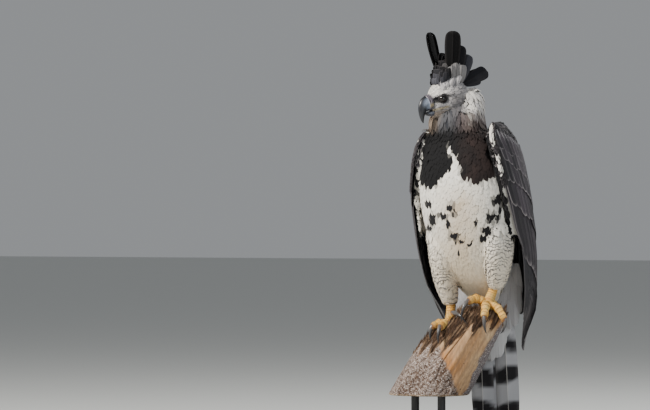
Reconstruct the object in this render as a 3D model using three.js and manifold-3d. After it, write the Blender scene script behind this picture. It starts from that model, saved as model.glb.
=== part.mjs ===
// Harpy eagle at life size, gripping a short cut length of a broken limb on a display stand.
// Millimetres, +Z up. The origin is on the underside of the stand's base, below the bird's body.
// The breast faces -Y, the bird's left side is +X, and the head is turned to the bird's right.

import * as THREE from 'three';
import { mergeVertices } from 'three/addons/utils/BufferGeometryUtils.js';
import Module from 'manifold-3d';

const wasm = await Module();
wasm.setup();

// Driving dimensions
const GAP = 0.3;
const CUT_GROWTH = 0.45;
const VANE_THICKNESS = 0.9;
const LEFT = 1;
const RIGHT = -1;

const BASE_LENGTH = 450;
const BASE_WIDTH = 400;
const BASE_THICKNESS = 20;
const BASE_CENTRE_X = -20;
const BASE_CENTRE_Y = 25;
const ROD_RADIUS = 10;
const PERCH_BOTTOM = 150;

const HEAD_CENTRE = new THREE.Vector3(-40, -50, 875);
const HEAD_YAW = THREE.MathUtils.degToRad(-31);
const HEAD_PITCH = THREE.MathUtils.degToRad(-10);
const EYE_RADIUS = 12.5;
const EYE_PLACE = { forward: 23, side: 20.5, up: 6 };
const BILL_ROOT = 46;

const WING_TOP = 812;
const WING_TIP = 258;
const TAIL_ROOT_HEIGHT = 452;
const TAIL_TIP_HEIGHT = 32;
const TAIL_LEVEL_STEP = 1.3;

// Colours read off the bird and its perch
const SLATE = 0x2b2a2c;
const WHITE_FEATHER = 0xe6e1d8;
const GREY_FEATHER = 0xa9a6a3;
const BARRED_FEATHER = 0xc9c5bd;
const LEG_YELLOW = 0xd9a640;
const HORN_BLACK = 0x1d1f24;
const EYE_BROWN = 0x2a211c;
const DEAD_WOOD = 0xb08d6c;
const STAND_BLACK = 0x222222;

// Smooth values through rows of [station, value, value, ...] with rising stations
function track(rows) {
  return (station) => {
    let i = 0;
    while (i < rows.length - 2 && station > rows[i + 1][0]) i++;
    const from = rows[i];
    const to = rows[i + 1];
    const span = to[0] - from[0];
    const q = THREE.MathUtils.clamp((station - from[0]) / span, 0, 1);
    const before = rows[i - 1] ?? from;
    const after = rows[i + 2] ?? to;
    return from.slice(1).map((value, k) => {
      const next = to[k + 1];
      const slopeIn = (next - before[k + 1]) / (to[0] - before[0]);
      const slopeOut = (after[k + 1] - value) / (after[0] - from[0]);
      const q2 = q * q;
      const q3 = q2 * q;
      return (2 * q3 - 3 * q2 + 1) * value + (q3 - 2 * q2 + q) * span * slopeIn
        + (3 * q2 - 2 * q3) * next + (q3 - q2) * span * slopeOut;
    });
  };
}

function seeded(seed) {
  let state = seed;
  return () => {
    state = (state * 1664525 + 1013904223) % 4294967296;
    return state / 4294967296;
  };
}

const vec = (x, y, z) => new THREE.Vector3(x, y, z);
const mix = THREE.MathUtils.lerp;
const smooth = THREE.MathUtils.smoothstep;

// Solids from vertices and triangles, turned so that the faces point out
function shell(points, triangles) {
  const positions = new Float32Array(points.length * 3);
  points.forEach((p, i) => p.toArray(positions, i * 3));
  let volume = 0;
  for (const [a, b, c] of triangles) {
    volume += points[a].dot(points[b].clone().cross(points[c]));
  }
  const faces = volume > 0 ? triangles : triangles.map(([a, b, c]) => [a, c, b]);
  const geometry = new THREE.BufferGeometry();
  geometry.setAttribute('position', new THREE.BufferAttribute(positions, 3));
  geometry.setIndex(faces.flat());
  return solid(geometry);
}

function solid(geometry) {
  const bare = geometry.clone();
  bare.deleteAttribute('normal');
  bare.deleteAttribute('uv');
  const merged = mergeVertices(bare, 1e-4);
  return new wasm.Manifold(new wasm.Mesh({
    numProp: 3,
    vertProperties: new Float32Array(merged.attributes.position.array),
    triVerts: new Uint32Array(merged.index.array),
  }));
}

function largest(body) {
  return body.decompose().reduce((best, part) => (part.volume() > best.volume() ? part : best));
}

function join(pieces) {
  return pieces.reduce((whole, piece) => whole.add(piece));
}

function cut(body, tools) {
  return largest(tools.reduce((rest, tool) => rest.subtract(tool), body));
}

// A solid through closed rings of points, closed at each end by a fan to a pole
function loft(rings, startPole, endPole) {
  const sides = rings[0].length;
  const points = rings.flat();
  const middle = (ring) => ring.reduce((sum, p) => sum.add(p), vec(0, 0, 0)).divideScalar(sides);
  const first = points.push(startPole ?? middle(rings[0])) - 1;
  const last = points.push(endPole ?? middle(rings.at(-1))) - 1;
  const triangles = [];
  for (let k = 0; k < sides; k++) {
    const next = (k + 1) % sides;
    for (let r = 0; r < rings.length - 1; r++) {
      const a = r * sides;
      const b = a + sides;
      triangles.push([a + k, a + next, b + next], [a + k, b + next, b + k]);
    }
    const end = (rings.length - 1) * sides;
    triangles.push([first, next, k], [last, end + k, end + next]);
  }
  return shell(points, triangles);
}

// A level ring, round or squarish, between a front and a back
function levelRing(z, centreX, front, back, halfWidth, grow, sides, power) {
  const ring = [];
  const centreY = (front + back) / 2;
  const halfDepth = (back - front) / 2 + grow;
  for (let k = 0; k < sides; k++) {
    const angle = (k / sides) * Math.PI * 2;
    const c = Math.cos(angle);
    const s = Math.sin(angle);
    const x = Math.sign(c) * Math.abs(c) ** (2 / power) * (halfWidth + grow);
    const y = Math.sign(s) * Math.abs(s) ** (2 / power) * halfDepth;
    ring.push(vec(centreX + x, centreY + y, z));
  }
  return ring;
}

// A body of level rings: rows of [z, centreX, front, back, halfWidth]
function levelBody(rows, { levels, sides, power = 2, grow = 0, dome = 3 }) {
  const shape = track(rows);
  const low = rows[0][0];
  const high = rows.at(-1)[0];
  const rings = [];
  for (let i = 0; i <= levels; i++) {
    const z = mix(low, high, i / levels);
    const [x, front, back, half] = shape(z);
    rings.push(levelRing(z, x, front, back, half, grow, sides, power));
  }
  const pole = (z) => {
    const [x, front, back] = shape(z);
    return vec(x, (front + back) / 2, z);
  };
  const bottom = pole(low).add(vec(0, 0, -dome - grow));
  const top = pole(high).add(vec(0, 0, dome + grow));
  return loft(rings, bottom, top);
}

// A thin plate from a grid of points and the outward direction at each, alike on both faces
function plate(grid, thickness) {
  const rows = grid.length;
  const columns = grid[0].length;
  const points = [];
  for (const row of grid) for (const cell of row) points.push(cell.point.clone());
  for (const row of grid) {
    for (const cell of row) {
      points.push(cell.point.clone().addScaledVector(cell.out, -thickness));
    }
  }
  const under = rows * columns;
  const at = (j, c) => j * columns + c;
  const triangles = [];
  for (let j = 0; j < rows - 1; j++) {
    for (let c = 0; c < columns - 1; c++) {
      const [a, b, d, e] = [at(j, c), at(j, c + 1), at(j + 1, c), at(j + 1, c + 1)];
      triangles.push([a, b, e], [a, e, d]);
      triangles.push([under + a, under + e, under + b], [under + a, under + d, under + e]);
    }
  }
  const rim = [];
  for (let c = 0; c < columns; c++) rim.push(at(0, c));
  for (let j = 1; j < rows; j++) rim.push(at(j, columns - 1));
  for (let c = columns - 2; c >= 0; c--) rim.push(at(rows - 1, c));
  for (let j = rows - 2; j > 0; j--) rim.push(at(j, 0));
  rim.forEach((a, i) => {
    const b = rim[(i + 1) % rim.length];
    triangles.push([a, under + a, under + b], [a, under + b, b]);
  });
  return shell(points, triangles);
}

// Half width of a feather along its length, as a share of its widest
const BROAD_VANE = track([[0, 0.45], [0.25, 0.85], [0.6, 1], [0.85, 0.92], [1, 0.34]]);
const LONG_VANE = track([[0, 0.3], [0.3, 0.8], [0.7, 1], [0.9, 0.8], [0.97, 0.45], [1, 0.12]]);

// A feather standing free: root, tip, the way its face looks, and how far it bows
function freeVane({ root, tip, face, halfWidth, bow = 0, cup = 0, stations = [0, 0.4, 0.8, 0.95, 1],
  edges = [-1, 0, 1], shape = BROAD_VANE, thickness = VANE_THICKNESS }) {
  const along = tip.clone().sub(root);
  const length = along.length();
  along.normalize();
  const out = face.clone().addScaledVector(along, -face.dot(along)).normalize();
  const across = along.clone().cross(out);
  const grid = stations.map((q) => {
    const half = shape(q)[0] * halfWidth;
    const centre = root.clone().addScaledVector(along, q * length)
      .addScaledVector(out, bow * Math.sin(Math.PI * q));
    return edges.map((edge) => ({
      point: centre.clone().addScaledVector(across, edge * half)
        .addScaledVector(out, -Math.abs(edge) * cup * half),
      out,
    }));
  });
  return plate(grid, thickness);
}

// A round limb swept along a smooth path, with the back of each scute standing proud
function limb({ path, radius, flatten = 1, sides = 8, steps = 6, dorsal, lateral, scutes = 0,
  scuteRise = 1.1, grow = 0 }) {
  const curve = new THREE.CatmullRomCurve3(path, false, 'centripetal');
  const stations = [];
  if (scutes) {
    const lip = 0.18 / scutes;
    for (let i = 0; i < scutes; i++) {
      stations.push([i / scutes, 0.25], [(i + 1) / scutes - lip, 1]);
    }
    stations.push([1, 0.3]);
  } else {
    for (let i = 0; i <= steps; i++) stations.push([i / steps, 0]);
  }
  const size = track(radius);
  const rings = stations.map(([q, rise]) => {
    const centre = curve.getPointAt(q);
    const along = curve.getTangentAt(q);
    const up = lateral ? lateral.clone().cross(along).normalize()
      : dorsal.clone().addScaledVector(along, -dorsal.dot(along)).normalize();
    const side = along.clone().cross(up);
    const [r] = size(q);
    const ring = [];
    for (let k = 0; k < sides; k++) {
      const angle = ((k + 0.5) / sides) * Math.PI * 2;
      const lift = Math.max(0, Math.sin(angle)) * rise * scuteRise;
      ring.push(centre.clone()
        .addScaledVector(side, Math.cos(angle) * (r * flatten + grow))
        .addScaledVector(up, Math.sin(angle) * (r + lift + grow)));
    }
    return ring;
  });
  const start = path[0].clone().addScaledVector(curve.getTangentAt(0), -grow);
  const end = path.at(-1).clone().addScaledVector(curve.getTangentAt(1), grow);
  return loft(rings, start, end);
}

function ellipsoid(centre, radii, grow = 0, wide = 12, high = 8) {
  const ball = new THREE.SphereGeometry(1, wide, high);
  ball.scale(radii.x + grow, radii.y + grow, radii.z + grow);
  ball.translate(centre.x, centre.y, centre.z);
  return solid(ball);
}

// Stand base, with a softened upper edge
function standBase() {
  const corner = 26;
  const half = { x: BASE_LENGTH / 2, y: BASE_WIDTH / 2 };
  const outline = new THREE.Shape();
  outline.absarc(half.x - corner, half.y - corner, corner, 0, Math.PI / 2);
  outline.absarc(-half.x + corner, half.y - corner, corner, Math.PI / 2, Math.PI);
  outline.absarc(-half.x + corner, -half.y + corner, corner, Math.PI, Math.PI * 1.5);
  outline.absarc(half.x - corner, -half.y + corner, corner, Math.PI * 1.5, Math.PI * 2);
  const bevel = 3;
  const slab = new THREE.ExtrudeGeometry(outline, {
    depth: BASE_THICKNESS - 2 * bevel, bevelThickness: bevel, bevelSize: bevel, bevelOffset: -bevel,
    bevelSegments: 1, curveSegments: 3,
  });
  slab.translate(BASE_CENTRE_X, BASE_CENTRE_Y, bevel);
  return solid(slab);
}

// Rods between the base and the sawn lower end of the perch
const ROD_PLACES = [vec(-142, 6, 0), vec(-72, 6, 0)];
function standRod(place) {
  const bottom = BASE_THICKNESS + GAP;
  const top = PERCH_BOTTOM - GAP;
  const rod = new THREE.CylinderGeometry(ROD_RADIUS, ROD_RADIUS, top - bottom, 16);
  rod.rotateX(Math.PI / 2);
  rod.translate(place.x, place.y, (top + bottom) / 2);
  return solid(rod);
}

// Feet: where each ball of the foot stands, and its toes by knuckle, claw root, claw heading
// and the way the back of the toe looks
const FEET = {
  left: {
    ball: vec(58, -16, 374),
    toes: {
      inner: [vec(36, -36, 389), vec(24, -58, 384), vec(-0.35, -0.75, -0.55), vec(0, -0.3, 1)],
      middle: [vec(68, -54, 372), vec(74, -78, 345), vec(0.05, -0.35, -0.94), vec(0, -0.9, 0.45)],
      outer: [vec(92, -34, 366), vec(112, -40, 340), vec(0.25, -0.1, -0.96), vec(0.8, -0.3, 0.5)],
      hind: [vec(56, 28, 372), vec(54, 54, 356), vec(-0.05, 0.55, -0.83), vec(0, 0.6, 0.8)],
    },
  },
  right: {
    ball: vec(-40, -18, 322),
    toes: {
      inner: [vec(-32, -34, 342), vec(-20, -46, 354), vec(0.72, -0.6, 0.1), vec(-0.3, -0.3, 1)],
      middle: [vec(-42, -52, 327), vec(-43, -76, 320), vec(0, -0.75, -0.65), vec(0, -0.4, 0.9)],
      outer: [vec(-62, -34, 328), vec(-74, -50, 320), vec(-0.3, -0.5, -0.8), vec(-0.2, -0.3, 0.9)],
      hind: [vec(-44, 26, 322), vec(-44, 54, 308), vec(0, 0.55, -0.83), vec(0, 0.6, 0.8)],
    },
  },
};
const TOE_RADIUS = { inner: 10.5, middle: 10.5, outer: 9.5, hind: 11 };
const CLAW_LENGTH = { inner: 58, middle: 44, outer: 40, hind: 64 };
const CLAW_SWEEP = 1.35;
const TOE_SCUTES = 3;
const TOE_TAPER = [[0, 1.05], [0.35, 0.95], [0.55, 1.12], [0.8, 0.86], [1, 0.74]];
const CLAW_TAPER = [[0, 0.62], [0.25, 0.53], [0.6, 0.32], [0.9, 0.124], [1, 0.05]];

function toe(foot, name, grow) {
  const { ball, toes } = FEET[foot];
  const [bend, end, , dorsal] = toes[name];
  return limb({
    path: [ball.clone(), ball.clone().lerp(bend, 0.55).add(vec(0, 0, 2)), bend, end],
    radius: TOE_TAPER.map(([q, share]) => [q, share * TOE_RADIUS[name]]),
    flatten: 0.95,
    dorsal,
    scutes: TOE_SCUTES,
    grow,
  });
}

function footSolid(foot, grow = 0) {
  const ball = ellipsoid(FEET[foot].ball, vec(18, 18, 14), grow, 10, 6);
  return join([ball, ...Object.keys(TOE_RADIUS).map((name) => toe(foot, name, grow))]);
}

// A claw: a tapering hook that starts square on the end of its toe
function clawSolid(foot, name, grow = 0) {
  const [, end, claw, dorsal] = FEET[foot].toes[name];
  const heading = claw.clone().normalize();
  const up = dorsal.clone().addScaledVector(heading, -dorsal.dot(heading)).normalize();
  const steps = 5;
  const stride = CLAW_LENGTH[name] / steps;
  const path = [];
  const place = end.clone().addScaledVector(heading, 0.8);
  for (let i = 0; i <= steps; i++) {
    path.push(place.clone());
    const turn = (CLAW_SWEEP * (i + 0.5)) / steps;
    place.addScaledVector(heading, Math.cos(turn) * stride);
    place.addScaledVector(up, -Math.sin(turn) * stride);
  }
  return limb({
    path,
    radius: CLAW_TAPER.map(([q, share]) => [q, share * TOE_RADIUS[name]]),
    flatten: 0.78,
    sides: 6,
    steps,
    lateral: heading.clone().cross(up),
    grow,
  });
}

// Perch: a leaning stub of dead limb with a torn top and a sawn lower end
const PERCH_ROWS = [
  [PERCH_BOTTOM, -110, 4, 100, 80],
  [215, -70, 4, 96, 77],
  [287, -24, 2, 90, 72],
  [330, 12, 0, 80, 66],
  [372, 46, 0, 58, 56],
];
const PERCH_TOP = PERCH_ROWS.at(-1)[0];
const PERCH_SIDES = 18;
const PERCH_LEVELS = 6;
const SPLINTERS = 11;
const LEDGE_HEIGHT = 304;
const TOP_HEIGHT = 357;

function perchRing(z, level) {
  const [x, y, wide, deep] = track(PERCH_ROWS)(z);
  const drift = level * 0.35;
  const ring = [];
  for (let k = 0; k < PERCH_SIDES; k++) {
    const angle = (k / PERCH_SIDES) * Math.PI * 2;
    const rough = 1 + 0.035 * Math.sin(5 * angle + drift) + 0.03 * Math.sin(8 * angle - 1.3 * drift);
    ring.push(vec(x + Math.cos(angle) * wide * rough, y + Math.sin(angle) * deep * rough, z));
  }
  return ring;
}

function splinter(root, height, width, turn) {
  const grain = vec(0.42, 0.02, 0.9).normalize();
  const side = vec(Math.cos(turn), Math.sin(turn), 0);
  const back = grain.clone().cross(side).normalize();
  const ring = (lift, scale) => [0, 1, 2, 3, 4].map((k) => {
    const angle = (k / 5) * Math.PI * 2;
    return root.clone().addScaledVector(grain, lift)
      .addScaledVector(side, Math.cos(angle) * width * scale)
      .addScaledVector(back, Math.sin(angle) * width * 0.45 * scale);
  });
  const tip = root.clone().addScaledVector(grain, height).addScaledVector(side, width * 0.3);
  return loft([ring(-34, 1.1), ring(height * 0.45, 0.72)], undefined, tip);
}

// The low ledge of the break, under the far foot, and the torn top under the near one
const BREAK = {
  low: { centre: -8, wide: 84, deep: 70, height: LEDGE_HEIGHT - 6 },
  high: { centre: 36, wide: 56, deep: 60, height: TOP_HEIGHT - 10 },
};

function perch() {
  const rings = [];
  for (let i = 0; i <= PERCH_LEVELS; i++) {
    rings.push(perchRing(mix(PERCH_BOTTOM, PERCH_TOP, i / PERCH_LEVELS), i));
  }
  const overLedge = new THREE.BoxGeometry(260, 260, 120);
  overLedge.rotateY(THREE.MathUtils.degToRad(-14));
  overLedge.translate(-148, 0, LEDGE_HEIGHT + 62);
  const overTop = new THREE.BoxGeometry(300, 300, 80);
  overTop.rotateY(THREE.MathUtils.degToRad(6));
  overTop.translate(40, 0, TOP_HEIGHT + 40);
  const broken = loft(rings).subtract(solid(overLedge)).subtract(solid(overTop));
  const random = seeded(7);
  const torn = [];
  for (let i = 0; i < SPLINTERS; i++) {
    const angle = (i / SPLINTERS) * Math.PI * 2 + random() * 0.25;
    const { centre, wide, deep, height } = Math.cos(angle) < 0.1 ? BREAK.low : BREAK.high;
    const reach = 0.78 + random() * 0.12;
    const root = vec(centre + Math.cos(angle) * wide * reach, Math.sin(angle) * deep * reach, height);
    torn.push(splinter(root, 12 + random() * 20, 9 + random() * 8, angle + 1.2));
  }
  const tools = [];
  for (const foot of Object.keys(FEET)) {
    tools.push(footSolid(foot, CUT_GROWTH));
    for (const name of Object.keys(TOE_RADIUS)) tools.push(clawSolid(foot, name, 2 * CUT_GROWTH));
    tools.push(tarsusSolid(foot, CUT_GROWTH));
  }
  return cut(join([broken, ...torn]), tools);
}

// Torso: full breast, flat back, belly running back to the root of the tail
const TORSO_ROWS = [
  [372, 14, 62, 112, 20],
  [400, 13, 22, 120, 44],
  [440, 11, -26, 123, 68],
  [490, 8, -66, 123, 90],
  [550, 5, -95, 120, 107],
  [610, 2, -111, 115, 115],
  [670, -1, -117, 106, 116],
  [720, -4, -113, 92, 110],
  [760, -8, -102, 70, 99],
  [790, -11, -84, 46, 80],
  [808, -13, -60, 22, 54],
];
const torsoSolid = (grow = 0) => (
  levelBody(TORSO_ROWS, { levels: 11, sides: 24, power: 2.3, grow, dome: 5 })
);

// Neck: thick with hackles, rising behind the head as a low ruff
const NECK_ROWS = [
  [768, -9, -88, 70, 84],
  [800, -16, -90, 45, 73],
  [838, -17, -90, 36, 68],
  [864, -11, -60, 38, 58],
  [888, -6, -46, 32, 46],
  [904, -1, -40, 20, 30],
];
const neckSolid = (grow = 0) => (
  levelBody(NECK_ROWS, { levels: 6, sides: 18, power: 2.1, grow, dome: 3 })
);

// Thighs: long barred trousers, ending above the bare shanks
const THIGH_ROWS = {
  left: [
    [410, 73, -20, 22, 17],
    [432, 77, -36, 32, 25],
    [470, 83, -57, 40, 32],
    [520, 83, -69, 48, 38],
    [575, 76, -62, 52, 40],
  ],
  right: [
    [370, -45, -20, 20, 17],
    [392, -48, -34, 27, 24],
    [430, -53, -54, 33, 30],
    [480, -57, -70, 40, 34],
    [530, -60, -72, 48, 37],
    [575, -60, -62, 52, 40],
  ],
};
const thighSolid = (leg, grow = 0) => (
  levelBody(THIGH_ROWS[leg], { levels: 6, sides: 16, power: 2, grow, dome: 4 })
);

// Tarsi: short bare shanks, plated in front
function tarsusSolid(leg, grow = 0) {
  const [z, x, front, back] = THIGH_ROWS[leg][0];
  const top = vec(x, (front + back) / 2, z + 14);
  const ball = FEET[leg].ball;
  return limb({
    path: [top, top.clone().lerp(ball, 0.5).add(vec(0, 3, 0)), ball.clone()],
    radius: [[0, 12], [0.5, 12.4], [0.8, 14], [1, 15]],
    sides: 8,
    dorsal: vec(0, -1, 0.1),
    scutes: 4,
    scuteRise: 1.3,
    grow,
  });
}

// Head, built in its own frame: x forward along the bill, y to the bird's left, z up
const HEAD_ROWS = [
  [-64, 14, 10, -18],
  [-56, 27, 28, -34],
  [-44, 37, 41, -44],
  [-30, 42, 51, -48],
  [-12, 42, 54, -49],
  [6, 38, 53, -47],
  [20, 32, 47, -44],
  [32, 26.5, 39, -40],
  [40, 20.5, 30, -37],
  [BILL_ROOT, 16, 21, -33],
];
const HEAD_SIDES = 18;
const HEAD_LEVELS = 9;
const HEAD_FLATNESS = 0.93;
const HEAD_BACK = HEAD_ROWS[0][0];

function headCore(grow = 0) {
  const shape = track(HEAD_ROWS);
  const rings = [];
  for (let i = 0; i <= HEAD_LEVELS; i++) {
    const f = mix(HEAD_BACK, BILL_ROOT, i / HEAD_LEVELS);
    const [half, top, bottom] = shape(f);
    const centre = (top + bottom) / 2;
    const ring = [];
    for (let k = 0; k < HEAD_SIDES; k++) {
      const angle = (k / HEAD_SIDES) * Math.PI * 2;
      const across = Math.sign(Math.cos(angle)) * Math.abs(Math.cos(angle)) ** HEAD_FLATNESS;
      const rise = Math.sign(Math.sin(angle)) * Math.abs(Math.sin(angle)) ** HEAD_FLATNESS;
      ring.push(vec(f, across * (half + grow), centre + rise * ((top - bottom) / 2 + grow)));
    }
    rings.push(ring);
  }
  return loft(rings, vec(HEAD_BACK - 3 - grow, 0, -4), vec(BILL_ROOT + grow, 0, -6));
}

const eyeCentre = (side) => vec(EYE_PLACE.forward, side * EYE_PLACE.side, EYE_PLACE.up);
const eyeSolid = (side, grow = 0) => (
  ellipsoid(eyeCentre(side), vec(EYE_RADIUS, EYE_RADIUS, EYE_RADIUS), grow, 12, 8)
);

// Rims of the lids: a slim ring round the front of the eyeball
function lids(side) {
  const centre = eyeCentre(side);
  const out = vec(0.36, side * 0.93, 0.04).normalize();
  const up = vec(0, 0, 1).addScaledVector(out, -out.z).normalize();
  const along = up.clone().cross(out);
  const tube = 2.1;
  const sides = 4;
  const steps = 10;
  const points = [];
  const triangles = [];
  for (let i = 0; i < steps; i++) {
    const turn = (i / steps) * Math.PI * 2;
    const spoke = along.clone().multiplyScalar(Math.cos(turn)).addScaledVector(up, Math.sin(turn));
    const middle = centre.clone().addScaledVector(out, 8.6)
      .addScaledVector(along, Math.cos(turn) * 9.6)
      .addScaledVector(up, Math.sin(turn) * 8.4);
    for (let k = 0; k < sides; k++) {
      const angle = (k / sides) * Math.PI * 2;
      points.push(middle.clone().addScaledVector(spoke, Math.cos(angle) * tube)
        .addScaledVector(out, Math.sin(angle) * tube));
      const a = i * sides;
      const b = ((i + 1) % steps) * sides;
      const next = (k + 1) % sides;
      triangles.push([a + k, a + next, b + next], [a + k, b + next, b + k]);
    }
  }
  return shell(points, triangles);
}

// Brow: the bony ledge that shades the eye
function brow(side) {
  const rise = [[8, 34, 15], [18, 36, 17.5], [28, 32, 17], [38, 23, 14]];
  const grid = rise.map(([f, y, z]) => [0, 1].map((edge) => ({
    point: vec(f, side * (y - edge * 11), z + edge * 7),
    out: vec(0.05, side * 0.35, 0.93).normalize(),
  })));
  return plate(grid, 4.2);
}

// Gape: the slit of the mouth, running back under the eye
const GAPE_LINE = [[13, -14], [30, -16.2], [BILL_ROOT + 4, -18.2]];
const GAPE_HEIGHT = 1.3;

function gape(side) {
  const half = (f) => track(HEAD_ROWS)(Math.min(f, BILL_ROOT))[0];
  return plate(GAPE_LINE.map(([f, z]) => [8, half(f) + 6].map((reach) => ({
    point: vec(f, side * reach, z),
    out: vec(0, 0, 1),
  }))), GAPE_HEIGHT);
}

// Crest feathers that stand in pairs, by root, tip and half width, each forward, left, up
const CREST_PAIRS = [
  { root: [-14, 18, 40], tip: [-15, 51, 163], half: 19.5 },
  { root: [-26, 20, 38], tip: [-36, 42, 126], half: 17.5 },
  { root: [-38, 20, 34], tip: [-60, 38, 99], half: 15.5 },
  { root: [-44, 18, 31], tip: [-101, 49, 57], half: 16 },
  { root: [-44, 17, 30], tip: [-90, 37, 38], half: 13.5 },
];
// The second feather on the right stands a little lower than its fellow
const SHORT_FEATHER = 1;
const SHORTENING = 0.82;
const CREST_MIDDLE = [
  { root: [-28, 2, 42], tip: [-52, 4, 116], half: 16 },
  { root: [-42, 0, 34], tip: [-88, -3, 84], half: 16 },
];
const PAIR_FACES = { left: vec(0.62, 0.78, 0.1), right: vec(0.2, -0.97, 0.1) };
const CROWN_ROWS = [
  { forward: 20, lean: -1, height: 80, spread: 52, count: 4, half: 14 },
  { forward: 2, lean: -6, height: 96, spread: 62, count: 4, half: 15.5 },
];

function crestFeather({ root, tip, half }, side, face) {
  return freeVane({
    root: vec(root[0], side * root[1], root[2]),
    tip: vec(tip[0], side * tip[1], tip[2]),
    face,
    halfWidth: half,
    bow: 5,
    cup: 0.16,
    stations: [0, 0.45, 0.88, 1],
    thickness: 1,
  });
}

function crest() {
  const feathers = [];
  CREST_PAIRS.forEach((pair, i) => {
    const shorten = i === SHORT_FEATHER ? SHORTENING : 1;
    const tip = pair.tip.map((value, k) => mix(pair.root[k], value, shorten));
    feathers.push(crestFeather(pair, LEFT, PAIR_FACES.left));
    feathers.push(crestFeather({ ...pair, tip }, RIGHT, PAIR_FACES.right));
  });
  for (const feather of CREST_MIDDLE) feathers.push(crestFeather(feather, LEFT, vec(0.7, 0.1, 0.7)));
  for (const row of CROWN_ROWS) {
    for (let i = 0; i < row.count; i++) {
      const across = (i / (row.count - 1)) * 2 - 1;
      const y = across * row.spread * 0.5;
      const drop = 10 * across * across;
      const forward = row.forward - (i % 2) * 3.2 - 5 * across * across;
      feathers.push(freeVane({
        root: vec(forward - 4, y * 0.72, 39 - drop * 0.8),
        tip: vec(forward + row.lean, y * 1.3, row.height - drop - (i % 2) * 4),
        face: vec(0.9, across * 0.45, 0.15),
        halfWidth: row.half,
        bow: 2,
        edges: [-1, 1],
        stations: [0, 0.6, 0.9, 1],
      }));
    }
  }
  return feathers;
}

function headSolid() {
  const both = [LEFT, RIGHT];
  const front = new THREE.BoxGeometry(60, 120, 120);
  front.translate(BILL_ROOT + 30, 0, 0);
  return cut(join([headCore(), ...both.map(lids), ...both.map(brow), ...crest()]),
    [solid(front), ...both.map(gape), ...both.map((side) => eyeSolid(side, GAP))]);
}

// Upper bill with its cere: rows of [forward, up, heading in degrees, half height, half width]
const UPPER_BILL = [
  [BILL_ROOT + GAP, 1.5, 0, 19, 15],
  [51, 1.5, 0, 19.6, 15.2],
  [57, 1, -4, 19.2, 14.2],
  [58.5, 0.6, -5, 18, 13],
  [65, -2, -16, 16.8, 11.6],
  [70.5, -8, -38, 14, 9.8],
  [74.3, -17, -62, 10.6, 7.8],
  [76.3, -28, -80, 7.2, 5.4],
  [76.4, -38, -93, 4.1, 3.1],
];
const UPPER_TIP = vec(74.6, 0, -47);

function upperBill() {
  const sides = 14;
  const rings = UPPER_BILL.map(([f, z, degrees, tall, wide]) => {
    const turn = THREE.MathUtils.degToRad(degrees);
    const up = vec(-Math.sin(turn), 0, Math.cos(turn));
    const ring = [];
    for (let k = 0; k < sides; k++) {
      const angle = ((k + 0.5) / sides) * Math.PI * 2;
      const s = Math.sin(angle);
      const narrow = 1 - 0.3 * Math.max(0, s) ** 1.5;
      ring.push(vec(f, 0, z).addScaledVector(up, s * tall)
        .add(vec(0, Math.cos(angle) * wide * narrow, 0)));
    }
    return ring;
  });
  const nostrils = [LEFT, RIGHT].map((side) => (
    ellipsoid(vec(54.5, side * 14.2, 5.5), vec(2.2, 4, 4.6), 0, 8, 6)
  ));
  const below = new THREE.BoxGeometry(30, 60, 30);
  below.translate(BILL_ROOT + 15, 0, -15 - 17.6);
  return cut(loft(rings, undefined, UPPER_TIP), [solid(below), ...nostrils]);
}

// Lower bill, tucked in behind the hook
const LOWER_BILL = [
  [BILL_ROOT + GAP, -25.5, 7, 12.5],
  [53, -25.4, 6.6, 11],
  [60, -25, 5, 8.6],
  [64.4, -24, 3, 5],
];

function lowerBill() {
  const sides = 12;
  const rings = LOWER_BILL.map(([f, z, tall, wide]) => {
    const ring = [];
    for (let k = 0; k < sides; k++) {
      const angle = ((k + 0.5) / sides) * Math.PI * 2;
      const s = Math.sin(angle);
      ring.push(vec(f, Math.cos(angle) * wide, z + (s > 0 ? Math.min(s * tall, tall * 0.75) : s * tall)));
    }
    return ring;
  });
  return loft(rings);
}

// Wing: a sheet bent round the flank, from the wrist at the front to the inner feathers behind
const WING_ROWS = [
  [WING_TIP, 84, 138, 94, 150, 86, 158],
  [300, 84, 116, 125, 156, 70, 160],
  [364, 100, 80, 178, 150, 54, 162],
  [422, 121, 32, 202, 136, 43, 161],
  [508, 129, -6, 218, 120, 38, 156],
  [630, 126, -60, 202, 85, 52, 139],
  [728, 112, -84, 175, 40, 72, 104],
  [777, 97, -88, 163, 13, 78, 56],
  [WING_TOP, 90, -62, 116, -28, 86, 4],
];
const WING_TRACK = track(WING_ROWS);
const SHOULDER_TILT = 11;

function wingPoint(side, s, t) {
  const z = mix(WING_TOP, WING_TIP, t);
  const [fx, fy, cx, cy, rx, ry] = WING_TRACK(z);
  const [a, b, c] = [(1 - s) * (1 - s), 2 * s * (1 - s), s * s];
  const tilt = side * SHOULDER_TILT * (1 - smooth(t, 0, 0.7));
  return vec(side * (a * fx + b * cx + c * rx), a * fy + b * cy + c * ry, z + tilt);
}

function wingFrame(side, s, t) {
  const step = 0.004;
  const point = wingPoint(side, s, t);
  const across = wingPoint(side, s + step, t).sub(wingPoint(side, s - step, t)).divideScalar(2 * step);
  const down = wingPoint(side, s, Math.min(1, t + step)).sub(wingPoint(side, s, Math.max(0, t - step)));
  const out = across.clone().cross(down).normalize();
  if (out.dot(vec(point.x, point.y - 30, 0)) < 0) out.negate();
  return { point, out, reach: across.length() };
}

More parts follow.
